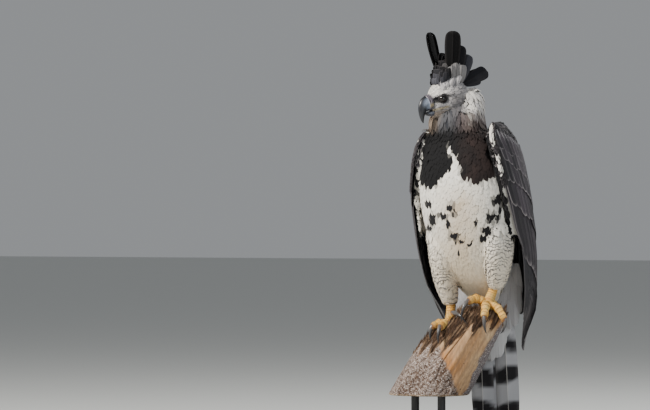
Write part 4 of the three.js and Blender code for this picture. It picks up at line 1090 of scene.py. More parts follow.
tone = blend_between(tone, shade(16, 14, 16), ease(hole, 1.1, 0.6) * ease(ridge, -0.5, 0))
upper_bill = formed_piece("upper_bill", local, ring_faces(*UPPER_GRID), tone)
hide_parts("bill_upper")
settled(upper_bill, horn)

local, share = bill_loft(LOWER_BILL, *LOWER_GRID, False)
tone = blend_between(shade(34, 34, 40), shade(96, 100, 112), 0.6 * ease(share[:, 0], 3, 1))
lower_bill = formed_piece("lower_bill", local, ring_faces(*LOWER_GRID), tone)
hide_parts("bill_lower")
settled(lower_bill, horn)

HEAD_PROFILE = track([row[:3] for row in HEAD_ROWS])
GAPE_START, GAPE_END = 13, 52
GAPE_RINGS, GAPE_SIDES = 22, 8
gape_skin = bare_skin("gape skin", shade(150, 140, 116), shade(106, 96, 80))
for side, label in ((LEFT, "left"), (RIGHT, "right")):
    for lift, part in ((1.25, "upper"), (-1.35, "lower")):
        stations = np.linspace(GAPE_START, GAPE_END, GAPE_RINGS)
        half = HEAD_PROFILE(np.minimum(stations, 45))[:, 0] - 1.2 - 0.06 * np.maximum(0, stations - 40)
        line = np.stack([stations, side * half, GAPE_LINE(stations)[:, 0] + lift], 1)
        thick = 0.95 * np.sin(np.clip((stations - 12) / 9, 0.1, 1) * math.pi / 2)
        turns = np.arange(GAPE_SIDES) / GAPE_SIDES * 2 * math.pi
        rings = [p + np.stack([np.zeros(GAPE_SIDES), 1.1 * r * np.cos(turns), r * np.sin(turns)], 1)
                 for p, r in zip(line, thick)]
        lip = formed_piece("gape_%s_%s" % (part, label), np.concatenate(rings),
                           ring_faces(GAPE_RINGS, GAPE_SIDES))
        settled(lip, gape_skin)

# Wings
# Each folded wing is laid in tiers on the arm: stiff primaries deepest, secondaries over them,
# then rows of coverts that shorten up to the shoulder, all overlapping like tiles, and scapulars.
BROAD_VANE = track([[0, 0.45], [0.25, 0.85], [0.6, 1], [0.85, 0.92], [0.95, 0.66], [1, 0.2]])
LONG_VANE = track([[0, 0.4], [0.3, 0.85], [0.7, 1], [0.9, 0.8], [0.97, 0.5], [1, 0.14]])
BLUNT_VANE = track([[0, 0.4], [0.3, 0.85], [0.7, 1], [0.92, 0.9], [0.98, 0.6], [1, 0.25]])
VANE_THICK = 0.7


def vane_mesh(name, feathers, material):
    """Long feathers in one mesh. Each is centre, across, out, half widths by station and a colour
    by station: a cambered blade with a raised shaft, closed all round."""
    points, colours, traits, own, roots = [], [], [], [], []
    draw = np.random.default_rng(len(feathers))
    stations = len(feathers[0]["centre"])
    share = np.linspace(0, 1, stations)
    for feather in feathers:
        centre, side, out = feather["centre"], feather["side"], feather["out"]
        half = feather["half"][:, None]
        rib = np.minimum(0.12 * half, (1.5 - 1.1 * share)[:, None])
        drop = feather["camber"] * half
        ring = [centre - side * half - out * drop,
                centre - side * half * 0.5 + out * (VANE_THICK / 2 - drop * 0.3),
                centre - side * rib + out * VANE_THICK / 2,
                centre + out * (VANE_THICK / 2 + rib * 0.9),
                centre + side * rib + out * VANE_THICK / 2,
                centre + side * half * 0.5 + out * (VANE_THICK / 2 - drop * 0.3),
                centre + side * half - out * drop,
                centre - out * VANE_THICK / 2]
        points.append(np.stack(ring, 1))
        normals = [out - side * 0.6, out - side * 0.2, out - side * 0.4, out, out + side * 0.4,
                   out + side * 0.2, out + side * 0.6, -out]
        own.append(np.stack([unit(n) for n in normals], 1))
        tone = feather["colour"]
        colours.append(np.repeat(tone, 8, axis=0) if tone.ndim == 2 else tone.reshape(-1, 3))
        traits.append(np.tile([0, feather["edge"], draw.random()], (stations * 8, 1)))
        roots.append(centre[stations // 2])
    count, per = len(feathers), stations * 8
    cell = [(r * 8 + k, r * 8 + (k + 1) % 8, (r + 1) * 8 + (k + 1) % 8, (r + 1) * 8 + k)
            for r in range(stations - 1) for k in range(8)]
    for base, order in ((0, (3, 2, 1, 0)), (0, (7, 6, 5, 4)), (0, (7, 4, 3, 0)),
                        (per - 8, (0, 1, 2, 3)), (per - 8, (4, 5, 6, 7)), (per - 8, (0, 3, 4, 7))):
        cell.append(tuple(base + k for k in order))
    faces = (np.array(cell)[None] + (np.arange(count) * per)[:, None, None]).reshape(-1, 4)
    own = np.concatenate([o.reshape(-1, 3) for o in own])
    made = feather_mesh(name, np.concatenate([p.reshape(-1, 3) for p in points]), faces, count, per,
                        ring_traits(share, np.array([0, 0.25, 0.46, 0.5, 0.54, 0.75, 1, 0.5])),
                        np.concatenate(colours), np.concatenate(traits), np.array(roots), None, own, own)
    settled(made, material)
    return made


def toward_tip(stations):
    """Shares of a feather's length, closer together where its end is rounded."""
    return 1 - (1 - np.linspace(0, 1, stations)) ** 1.6


def wing_feather(side, tier, root, tip, lift, draw, stations=12):
    """One feather that lies on the wing's sheet, its front edge over its neighbour's back edge."""
    q = toward_tip(stations)
    s = root[0] + (tip[0] - root[0]) * q
    t = root[1] + (tip[1] - root[1]) * q
    # the front edge draws back beside the thigh, so that the tail coverts show
    front = 0.09 * ease(t, 0.4, 0.55) * ease(t, 1.0, 0.85)
    half = tier["shape"](q)[:, 0] * tier["half"]
    _, _, reach = wing_sheet(side, s, t)
    lie = tier["depth"] * (1 - 0.85 * ease(t, 0.6, 0.84)) * (0.35 + 0.65 * ease(s, 0, 0.35))
    lie = lie - lift * ease(t, 0.5, 0.95)
    lie = lie + tier.get("sink", 2.5) * (1 - ease(q, 0, 0.35))
    edge_points = []
    for edge in (-1, 0, 1):
        place, out, _ = wing_sheet(side, np.clip(s + edge * half / reach, front, 1.03), t)
        edge_points.append(place - out * (lie + edge * half * tier["slope"])[:, None])
        if edge == 0:
            middle_out = out
    across = edge_points[2] - edge_points[0]
    width = np.linalg.norm(across, axis=1) / 2
    along = np.gradient(edge_points[1], axis=0)
    across = unit(across)
    face = unit(np.cross(along, across))
    face = face * np.sign((face * middle_out).sum(1, keepdims=True))
    if (np.cross(along[0], face[0]) @ across[0]) < 0:
        across = -across
    middle = (edge_points[0] + edge_points[2]) / 2 * 0.5 + edge_points[1] * 0.5
    return {"centre": middle, "side": across, "out": face, "half": width, "camber": 0.12,
            "colour": tier["tone"](q, s, draw), "edge": tier["edge"]}


FLIGHT_DARK = shade(12, 11, 14)
FLIGHT_GREY = shade(60, 56, 65)
COVERT_BROWN = shade(74, 66, 73)


def flight_tone(q, s, draw):
    """Near black, a little greyer toward the root, with faint darker bars."""
    base = blend_between(FLIGHT_DARK, FLIGHT_GREY, 0.35 * (1 - q) + 0.3 * draw.random())
    bars = 0.5 + 0.5 * np.sin(q * 34 + draw.uniform(0, 6))
    return base * (0.8 + 0.3 * bars[:, None])


def secondary_tone(q, s, draw):
    base = blend_between(shade(34, 30, 37), COVERT_BROWN, 0.6 * draw.random())
    base = blend_between(base, FLIGHT_DARK, 0.5 * (1 - ease(s, 0.05, 0.3)))
    bars = 0.5 + 0.5 * np.sin(q * 30 + draw.uniform(0, 6))
    return base * (0.7 + 0.4 * bars[:, None])


def covert_tone(q, s, draw):
    base = blend_between(shade(26, 23, 28), COVERT_BROWN, draw.random())
    return blend_between(base, FLIGHT_DARK, 0.8 * (1 - ease(s, 0.03, 0.2)))


# Tiers from the deepest to the outermost. Roots and tips run from the wing's front edge to its back.
COVERT = {"slope": 0.07, "lift": 0, "shape": BROAD_VANE, "tone": covert_tone}
WING_TIERS = [
    {"count": 12, "half": 15, "depth": 12.5, "slope": 0.09, "lift": 0.25, "shape": BLUNT_VANE, "crowd": 2.4,
     "root": [(0.04, 0.2), (0.5, 0.35)], "tip": [(0.16, 0.84), (0.54, 1)], "tone": flight_tone, "edge": 0.28},
    {**COVERT, "count": 15, "half": 16, "depth": 8, "shape": LONG_VANE, "tone": secondary_tone,
     "root": [(0.08, 0.24), (0.95, 0.42)], "tip": [(0.12, 0.6), (0.94, 0.85)], "edge": 0.42},
    {**COVERT, "count": 15, "half": 14, "depth": 4.6, "root": [(0.06, 0.14), (0.94, 0.33)],
     "tip": [(0.08, 0.36), (0.93, 0.62)], "edge": 0.5},
    {**COVERT, "count": 16, "half": 12.5, "depth": 2.0, "root": [(0.05, 0.1), (0.92, 0.26)],
     "tip": [(0.07, 0.25), (0.92, 0.47)], "edge": 0.6},
    {**COVERT, "count": 16, "half": 11, "depth": 0.8, "root": [(0.04, 0.06), (0.9, 0.2)],
     "tip": [(0.05, 0.17), (0.9, 0.37)], "edge": 0.5},
    {**COVERT, "count": 16, "half": 10, "depth": 0.2, "root": [(0.03, 0.03), (0.88, 0.15)],
     "tip": [(0.04, 0.11), (0.88, 0.29)], "edge": 0.45},
    {**COVERT, "count": 6, "half": 15, "depth": -1.6, "slope": 0.08, "root": [(0.66, 0.1), (0.97, 0.16)],
     "tip": [(0.72, 0.36), (0.98, 0.47)], "edge": 0.4},
]
LESSER_COVERTS = {"gap": 7.0, "long": 22, "wide": 6.5, "deep": 4.6, "under": 5.0, "tries": 9000}
EDGE_WHITE = {
    "left": track([[560, 0], [690, 0.1], [704, 0.75], [738, 0.8], [746, 0.1], [760, 0.15], [768, 0.9],
                   [826, 0.85]]),
    "right": track([[540, 0], [600, 0.04], [760, 0.06], [785, 0.1], [826, 0]]),
}
FRINGE_COUNT = 300
ARM_OUTSIDE = 0.45
SHOULDER_FOOT = 735


def lining_colour(points, normals):
    """White close to the body, black toward the wing's edge."""
    a = points @ ACROSS_VIEW + 6 * wobble(points, 12)
    white = ease(a, -126, -118) * ease(a, 40, 20) * ease(points[..., 2], 540, 562)
    return blend_between(FLIGHT_DARK, WHITE, white)


def shoulder_colour(points, normals):
    return SLATE * (1.4 + 0.6 * wobble(points, 5)[:, None])


flight_plumage = plumage("flight plumage", barbs=70, roughness=0.5, sheen=0.03, shaft=0.5, gloss=0.4)
for side, label in ((LEFT, "left"), (RIGHT, "right")):
    draw = np.random.default_rng(40 + side)
    feathers = []
    for tier in WING_TIERS:
        for i in range(tier["count"]):
            q = i / (tier["count"] - 1)
            root = [tier["root"][0][k] + (tier["root"][1][k] - tier["root"][0][k]) * q for k in (0, 1)]
            late = 1 - (1 - q) ** tier.get("crowd", 1)
            tip = [tier["tip"][0][k] + (tier["tip"][1][k] - tier["tip"][0][k]) * (q, late)[k] for k in (0, 1)]
            tip[1] = min(1, tip[1] + draw.uniform(-0.006, 0.006))
            tip[1] += (tip[1] < 0.97) * draw.uniform(-0.012, 0.012)
            tip[0] += draw.uniform(-0.012, 0.012)
            laid = wing_feather(side, tier, root, tip, tier["lift"] * i, draw)
            laid["edge"] *= draw.uniform(0.4, 1.6)
            feathers.append(laid)
    wing = vane_mesh("wing_feathers_" + label, feathers, flight_plumage)
    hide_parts("wing_" + label)

    # small rounded feathers over the wrist and the arm's upper end
    grid = np.random.default_rng(60 + side)
    s = grid.uniform(0.0, 0.97, LESSER_COVERTS["tries"])
    t = grid.uniform(0.0, 0.05 + 0.13 * s, LESSER_COVERTS["tries"])
    place, out, _ = wing_sheet(side, s, t)
    place = place - out * LESSER_COVERTS["under"]
    keep = spread_out(place, np.full(len(place), LESSER_COVERTS["gap"]), 5)
    roots, normals = place[keep], out[keep]
    below, _, _ = wing_sheet(side, s[keep], np.minimum(t[keep] + 0.03, 1))
    lie = below - wing_sheet(side, s[keep], t[keep])[0]
    lie = unit(lie - normals * (lie * normals).sum(1, keepdims=True))
    lie = unit(lie + np.cross(normals, lie) * grid.normal(0, 0.12, (len(roots), 1)))
    count = len(roots)
    lengths = LESSER_COVERTS["long"] * grid.uniform(0.8, 1.15, count)
    places, outs = lay_stations(roots, normals, lie, lengths, VANE_SHARES, form_trees["arm_" + label])
    shown = blend_between(shade(24, 21, 24), COVERT_BROWN, grid.random(count))
    traits = np.stack([np.zeros(count), grid.uniform(0.1, 0.7, count), grid.random(count)], 1)
    lesser = coat("lesser_coverts_" + label, roots, places, outs,
                  LESSER_COVERTS["wide"] * grid.uniform(0.85, 1.1, count),
                  LESSER_COVERTS["deep"] * grid.uniform(0.8, 1.1, count), shown, traits, sunk=1)
    settled(lesser, soft_plumage)

    # ragged small feathers along the wing's front edge, white in broken patches
    count = FRINGE_COUNT
    s = grid.uniform(-0.02, 0.035, count)
    t = grid.uniform(0.004, 0.25, count)
    q = VANE_SHARES[None] * (0.034 * grid.uniform(0.7, 1.3, count))[:, None]
    places, outs, _ = wing_sheet(side, s[:, None] + 0 * q, t[:, None] + q)
    outs = unit(outs + np.array([-0.5 * side, -0.7, 0]))
    high = places[:, 2, 2]
    white = (EDGE_WHITE[label](high)[:, 0] * 0.8 > grid.random(count)) & (s < 0.008)
    shown = np.where(white[:, None], WHITE, shade(30, 27, 31) * grid.uniform(0.3, 1.6, (count, 1)))
    traits = np.stack([np.zeros(count), np.where(white, 0, 0.15), grid.random(count)], 1)
    fringe = coat("front_edge_feathers_" + label, places[:, 0], places, outs,
                  grid.uniform(2.4, 4.2, count), grid.uniform(0.5, 2.5, count), shown, traits, sunk=2.5)
    settled(fringe, soft_plumage)

    # short soft feathers on the wing's inner face, toward the body, and on the shoulder's top
    on_arm = np.flatnonzero(nearest == "arm_" + label)
    away = unit(candidates[on_arm] * [1, 1, 0] - [0, 30, 0])
    outside = (candidate_normals[on_arm] * away).sum(1) >= ARM_OUTSIDE
    lay_coat("wing_lining_" + label, on_arm[~outside], BODY_COAT["lining"], 62 + side,
             soft_plumage, colour=lining_colour)
    lay_coat("shoulder_feathers_" + label, on_arm[outside & (candidates[on_arm, 2] > SHOULDER_FOOT)],
             BODY_COAT["lining"], 72 + side, soft_plumage, edge=0.4,
             colour=shoulder_colour)

# Tail
# Twelve long stiff feathers, pale grey and black in broad bars, rooted in the rump and stacked from
# the middle pair outward, each pair a little shorter and nearer the front than the last.
TAIL_ROOT, TAIL_TIP = 452, 32
TAIL_LINE = track([[0, 18, 158], [1, 12, 128]])
TAIL_VANE = track([[0, 0.5], [0.3, 0.85], [0.75, 1], [0.95, 0.78], [0.985, 0.5], [1, 0.2]])
TAIL_PALE = shade(186, 186, 190)
TAIL_BLACK = shade(28, 26, 30)
TAIL_BARS = [(30, 40), (111, 44), (193, 48), (279, 42), (360, 34)]
TAIL_SHAFT = shade(236, 232, 226)


def tail_place(z):
    x, y = TAIL_LINE((z - TAIL_TIP) / (TAIL_ROOT - TAIL_TIP))
    return np.array([x, y, z])


def free_feather(root, tip, face, half, shape, colour, bow=0.0, stations=12, camber=0.12, edge=0.1,
                 curl=0.0):
    """A feather that stands free: root, tip, the way its face looks, its bow and its curl."""
    root, tip = np.asarray(root, float), np.asarray(tip, float)
    q = toward_tip(stations)
    along = tip - root
    length = np.linalg.norm(along)
    along = along / length
    out = np.asarray(face, float)
    out = unit(out - along * (out @ along))
    rise = bow * np.sin(math.pi * q) - curl * q ** 2.5
    centre = root + along * (q * length)[:, None] + out * rise[:, None]
    heading = unit(np.gradient(centre, axis=0))
    outs = unit(out - heading * (heading @ out)[:, None])
    side = np.cross(heading, outs)
    return {"centre": centre, "side": side, "out": outs, "half": shape(q)[:, 0] * half, "edge": edge,
            "colour": colour(centre) if callable(colour) else np.tile(colour, (stations, 1)),
            "camber": camber}


def tail_tone(centre, draw):
    """Broad dark bars, each with rounded ends on the two webs of the feather, and a white shaft."""
    web = np.array([-1, -0.5, -0.1, 0, 0.1, 0.5, 1, 0.5])[None]
    z = centre[:, 2][:, None] + 0 * web
    tone = blend_between(TAIL_PALE, shade(150, 150, 156), 0.35 * ease(np.abs(web), 0.2, 1) * np.ones_like(z))
    for height, tall in TAIL_BARS:
        middle = height + draw.uniform(-7, 7) + 7 * web * draw.choice([-1, 1])
        half = tall / 2 * draw.uniform(0.85, 1.15) - 5 * np.abs(web) ** 2
        tone = blend_between(tone, TAIL_BLACK, ease(np.abs(z - middle), half + 4, half - 4))
    tone[:, 3] = TAIL_SHAFT
    return tone


tail_plumage = plumage("tail plumage", barbs=90, roughness=0.65, sheen=0.03, shaft=0.0, gloss=0.25)
draw = np.random.default_rng(52)
tail_feathers = []
for i in range(6):
    for side in (LEFT, RIGHT):
        layer = 2 * i + (0 if side == LEFT else 1)
        forward = 7 - 1.3 * layer
        spread = side * (i + 0.5)
        tail_feathers.append(free_feather(
            tail_place(TAIL_ROOT) + [spread * 5.6, forward, 0],
            tail_place(TAIL_TIP + 3.4 * i) + [spread * 6.2, forward, 0],
            (0, -1, -0.07), 30, TAIL_VANE, lambda centre: tail_tone(centre, draw), stations=48,
            camber=0.03, edge=0.1))
tail = vane_mesh("tail_feathers", tail_feathers, tail_plumage)
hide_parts("tail")

# Crest
# Two tall broad feathers and a fan of shorter ones raised on the back of the crown, dark slate with
# greyer edges, over rows of scale-like crown feathers that lift off the forehead.
CREST_PAIRS = [
    {"root": [-14, 18, 40], "tip": [-15, 51, 165], "half": 19.5, "curl": 3},
    {"root": [-26, 20, 38], "tip": [-36, 42, 127], "half": 17.5, "curl": 4},
    {"root": [-38, 20, 34], "tip": [-60, 38, 101], "half": 15.5, "curl": 5},
    {"root": [-44, 18, 31], "tip": [-102, 49, 57], "half": 16, "curl": 7},
    {"root": [-44, 17, 30], "tip": [-91, 37, 38], "half": 13.5, "curl": 6},
]
SHORT_FEATHER = 1
SHORTENING = 0.82
PAIR_FACES = {LEFT: [0.62, 0.78, 0.1], RIGHT: [0.2, -0.97, 0.1]}
CREST_MIDDLE = [
    {"root": [-28, 2, 42], "tip": [-52, 4, 117], "half": 16, "curl": 4},
    {"root": [-42, 0, 34], "tip": [-88, -3, 85], "half": 16, "curl": 6},
    {"root": [-34, 9, 38], "tip": [-62, 20, 104], "half": 14, "curl": 5},
    {"root": [-34, -8, 38], "tip": [-64, -16, 100], "half": 14, "curl": 5},
    {"root": [-46, 9, 30], "tip": [-92, 18, 66], "half": 14, "curl": 6},
    {"root": [-46, -9, 30], "tip": [-90, -20, 64], "half": 14, "curl": 6},
]
CROWN_ROWS = [
    {"forward": 30, "height": 58, "spread": 34, "count": 6, "half": 6.5, "tone": 0.6},
    {"forward": 25, "height": 68, "spread": 44, "count": 7, "half": 7.5, "tone": 0.38},
    {"forward": 19, "height": 79, "spread": 52, "count": 8, "half": 9, "tone": 0.18},
    {"forward": 11, "height": 86, "spread": 58, "count": 8, "half": 10, "tone": 0.08},
    {"forward": 2, "height": 95, "spread": 60, "count": 7, "half": 12, "tone": 0.03},
    {"forward": -9, "height": 96, "spread": 66, "count": 6, "half": 13, "tone": 0.02},
    {"forward": -22, "height": 88, "spread": 70, "count": 6, "half": 14, "tone": 0.05},
]
SIDE_CROWN_COUNT = 34
CREST_VANE = track([[0, 0.35], [0.3, 0.78], [0.65, 1], [0.86, 0.98], [0.94, 0.84], [0.98, 0.58], [1, 0.24]])
CREST_DARK = shade(9, 8, 9)
CREST_GREY = shade(92, 92, 100)


def crest_feather(root, tip, face, half, grey, draw, curl=0.0, cup=0.2, edge=0.03, bow=4, pale=0.0):
    """One feather of crest or crown, given forward, left and up in the head."""
    tone = blend_between(CREST_DARK, CREST_GREY, np.clip(grey + draw.uniform(-0.06, 0.06), 0, 1))
    tone = blend_between(tone, NAPE_GREY, pale)
    feather = free_feather(root, tip, face, half, CREST_VANE, tone, bow=bow, camber=cup, edge=edge,
                           stations=14, curl=curl)
    for key in ("side", "out"):
        feather[key] = feather[key] @ HEAD_AXES
    feather["centre"] = from_head(feather["centre"])
    return feather


crest_plumage = plumage("crest plumage", barbs=60, sheen=0.0, shaft=0.5, gloss=0.12)
draw = np.random.default_rng(83)
raised = []
for i, pair in enumerate(CREST_PAIRS):
    for side in (LEFT, RIGHT):
        root, tip = np.array(pair["root"]) * [1, side, 1], np.array(pair["tip"]) * [1, side, 1]
        if i == SHORT_FEATHER and side == RIGHT:
            tip = root + (tip - root) * SHORTENING
        grey = 0.02 + 0.05 * i + 0.35 * (i == 2 and side == LEFT)
        raised.append(crest_feather(root, tip, PAIR_FACES[side], pair["half"], grey, draw, pair["curl"]))
        if i in (1, 2, 3):
            shift = draw.uniform(-1, 1, 3) * [5, 3, 3] + [-4, -4 * side, -6]
            raised.append(crest_feather(root + [-3, -3 * side, 0], tip + shift, PAIR_FACES[side],
                                        pair["half"] * 0.85, 0.12, draw, pair["curl"]))
for feather in CREST_MIDDLE:
    raised.append(crest_feather(np.array(feather["root"]), np.array(feather["tip"]), [0.7, 0.1, 0.7],
                                feather["half"], 0.15, draw, feather["curl"]))
for row in CROWN_ROWS:
    for i in range(row["count"]):
        across = (i + draw.uniform(-0.15, 0.15)) / (row["count"] - 1) * 2 - 1
        y = across * row["spread"] / 2
        drop = 12 * across * across
        forward = row["forward"] - 7 * across * across
        top = HEAD_PROFILE(forward - 5)[1]
        root = np.array([forward - 5, y * 0.72, top - 6 - drop * 0.8])
        tip = np.array([forward - 2 + draw.uniform(-2, 2), y * 1.26,
                        row["height"] - drop + draw.uniform(-3, 3)])
        edge = draw.uniform(0.02, 0.12)
        pale = draw.uniform(0.3, 0.8) * ease(abs(across), 0.5, 0.8) * ease(forward, 6, -10)
        raised.append(crest_feather(root, tip, [0.95 - 0.6 * abs(across), across, 0.15], row["half"],
                                    row["tone"], draw, curl=3, cup=0.25, edge=edge, bow=2, pale=pale))
for side in (LEFT, RIGHT):
    for i in range(SIDE_CROWN_COUNT):
        back, low = draw.uniform(0, 1, 2)
        half, top = HEAD_PROFILE(24 - 50 * back)
        height = top * (0.82 - 0.3 * low)
        root = np.array([24 - 50 * back, side * 0.92 * half * math.sqrt(1 - (height / top) ** 2), height])
        tip = root + [-9 - 8 * back, side * 3 * low, 13 + 20 * back]
        raised.append(crest_feather(root, tip, [0.35, side, 0.3], 5.5, 0.9, draw, curl=2, edge=0.0, bow=3,
                                    pale=draw.uniform(0.2, 1.15)))
crest = vane_mesh("crest", raised, crest_plumage)
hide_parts("head")

# Tail coverts
# Soft white feathers below the root of the tail and dark ones above it, hiding its quills.
SIDE_COVERTS = 30
MIDDLE_COVERTS = 40
UPPER_COVERTS = 14

draw = np.random.default_rng(31)
under, upper = [], []
for side in (LEFT, RIGHT):
    for _ in range(SIDE_COVERTS):
        aside, down = draw.uniform(0, 1), draw.uniform(0, 1)
        under.append(free_feather(
            np.array([14 + side * (34 + 48 * aside), 92 + 12 * down, 478 - 60 * down]),
            np.array([14 + side * (30 + 50 * aside), 112 + 8 * down, 372 - 74 * down + 30 * aside]),
            (side * 0.3, -1, -0.1), 12, BROAD_VANE, shade(178, 176, 178) * draw.uniform(0.85, 1.1), bow=5,
            camber=0.25, edge=0.0))
for i in range(MIDDLE_COVERTS):
    row = i % 3
    across = draw.uniform(-1, 1) if row else i / (MIDDLE_COVERTS - 1) * 2 - 1
    middle = 1 - abs(across)
    reach = 226 + 50 * row + abs(across) * (70 if across > 0.4 else 24) + draw.uniform(0, 16)
    under.append(free_feather(
        np.array([14 + across * 30, 104 - middle * 6 - row * 3, 424 + 8 * row]),
        tail_place(reach) + [across * 46, -8 - middle * 8 - row * 4, 0],
        (across * 0.4, -1, -0.2), 17, BROAD_VANE, shade(206, 205, 206), bow=4 * middle + 2,
        camber=0.25, edge=0.0))
for i in range(UPPER_COVERTS):
    row = i % 2
    across = i / (UPPER_COVERTS - 1) * 2 - 1
    upper.append(free_feather(
        np.array([12 + across * 30, 130, 474]),
        tail_place(346 + 46 * row + abs(across) * 18) + [across * 38, 11 + row * 3 - abs(across) * 2, 0],
        (across * 0.3, 1, 0.2), 17, BROAD_VANE, SLATE, bow=4, edge=0.5))
vane_mesh("under_tail_coverts", under, soft_plumage)
vane_mesh("upper_tail_coverts", upper, soft_plumage)

# Legs and feet
# Thick bare yellow shanks and toes in one scaly skin: broad overlapping plates down the front and
# over each toe, small rounded scales on the sides, and swollen pads under the joints.
FEET = {
    "left": {
        "ball": (58, -16, 374),
        "inner": [(36, -36, 389), (24, -58, 384), (-0.35, -0.75, -0.55), (0, -0.3, 1)],
        "middle": [(68, -54, 372), (74, -78, 345), (0.05, -0.35, -0.94), (0, -0.9, 0.45)],
        "outer": [(92, -34, 366), (112, -40, 340), (0.25, -0.1, -0.96), (0.8, -0.3, 0.5)],
        "hind": [(56, 28, 372), (54, 54, 356), (-0.05, 0.55, -0.83), (0, 0.6, 0.8)],
    },
    "right": {
        "ball": (-40, -18, 322),
        "inner": [(-32, -34, 342), (-20, -46, 354), (0.72, -0.6, 0.1), (-0.3, -0.3, 1)],
        "middle": [(-42, -52, 327), (-43, -76, 320), (0, -0.75, -0.65), (0, -0.4, 0.9)],
        "outer": [(-62, -34, 328), (-74, -50, 320), (-0.3, -0.5, -0.8), (-0.2, -0.3, 0.9)],
        "hind": [(-44, 26, 322), (-44, 54, 308), (0, 0.55, -0.83), (0, 0.6, 0.8)],
    },
}
TOE_RADIUS = {"inner": 10.5, "middle": 10.5, "outer": 9.5, "hind": 11}
TOE_TAPER = track([[0, 1.05], [0.2, 0.9], [0.36, 1.04], [0.48, 0.9], [0.62, 1.12], [0.76, 0.84], [0.88, 0.96],
                   [1, 0.74]])
TOE_PLATES = 9
SHANK_PLATES = 10
SHANK_TAPER = track([[0, 11.6], [0.5, 11.8], [0.8, 13.4], [1, 14.6]])
SHANK_FRONT = (0, -1, 0.1)
BALL_RADII = [17.6, 17.6, 13.6]
PLATE_RISE = 1.5
FOOT_VOXEL = 0.95


def limb_line(path, dorsal, steps, lateral=None):
    """Shares, centres, directions and back directions along a smooth path."""
    path = np.array(path, float)
    knots = np.concatenate([[0], np.cumsum(np.linalg.norm(np.diff(path, axis=0), axis=1) ** 0.5)])
    q = np.linspace(0, 1, steps)
    centre = track(np.column_stack([knots / knots[-1], path]))(q)
    along = unit(np.gradient(centre, axis=0))
    up = np.array(dorsal) - along * (along @ np.array(dorsal, float))[:, None]
    return q, centre, along, unit(up if lateral is None else np.cross(lateral, along))


def swept_rings(path, radius, dorsal, steps, sides, plates=0, flatten=0.95, lateral=None):
    """Rings of a limb along a smooth path, its back stepped into overlapping plates."""
    q, centre, along, up = limb_line(path, dorsal, steps, lateral)
    side = np.cross(along, up)
    angle = (np.arange(sides) + 0.5) / sides * 2 * math.pi
    size = radius(q)[:, 0]
    step = (q * plates) % 1.0 if plates else np.zeros(steps)
    lift = PLATE_RISE * (0.15 + 0.85 * step) * (1 - ease(step, 0.9, 1.0)) if plates else 0 * q
    rings = []
    for c, s_axis, u_axis, r, l in zip(centre, side, up, size, lift):
        back = np.maximum(0, np.sin(angle)) ** 0.6
        rings.append(c + np.outer(np.cos(angle) * r * flatten, s_axis)
                     + np.outer(np.sin(angle) * r + back * l, u_axis))
    return np.concatenate(rings), ring_faces(steps, sides)


def ball_form(centre, radii, rows=18, columns=24):
    angles = np.linspace(0, math.pi, rows)[1:-1, None]
    turns = (np.arange(columns) / columns * 2 * math.pi)[None]
    x, y = np.sin(angles) * np.cos(turns), np.sin(angles) * np.sin(turns)
    z = np.cos(angles) * np.ones_like(turns)
    points = np.stack([x, y, z], -1).reshape(-1, 3) * radii + np.array(centre, float)
    return points, ring_faces(rows - 2, columns)


def toe_path(ball, bend, end):
    ball, bend, end = (np.array(v, float) for v in (ball, bend, end))
    return [ball, ball + (bend - ball) * 0.55 + [0, 0, 2], bend, end]


def scaly_material():
    """Waxy yellow skin: plates with creases darkened as painted shade, small round scales edged with painted
    shade, browner toward the claws.
    """
    made = Shader("scaly skin")
    own = made.attribute("Colour").outputs["Color"]
    scales = made.add("TexVoronoi", feature="DISTANCE_TO_EDGE", values={"Scale": 430.0, "Randomness": 0.85})
    made.tree.links.new(made.place(), scales.inputs["Vector"])
    edge = made.between(scales.outputs["Distance"], 0.0, 0.09)
    stain = made.noise(70, 4, 0.6)
    tone = made.mix(made.between(stain, 0.42, 0.68, 0, 0.55), own, shade(186, 118, 52))
    # painted shade in the creases between the small scales
    tone = made.mix(made.between(edge, 0, 1, 0.62, 0), tone, shade(84, 52, 24))
    made.bump(edge, 0.55, 0.0006)
    made.put(Base_Color=tone, Roughness=made.between(stain, 0.3, 0.7, 0.42, 0.6), Specular_IOR_Level=0.45,
             Subsurface_Weight=0.08, Subsurface_Radius=(0.006, 0.003, 0.001))
    return made.material


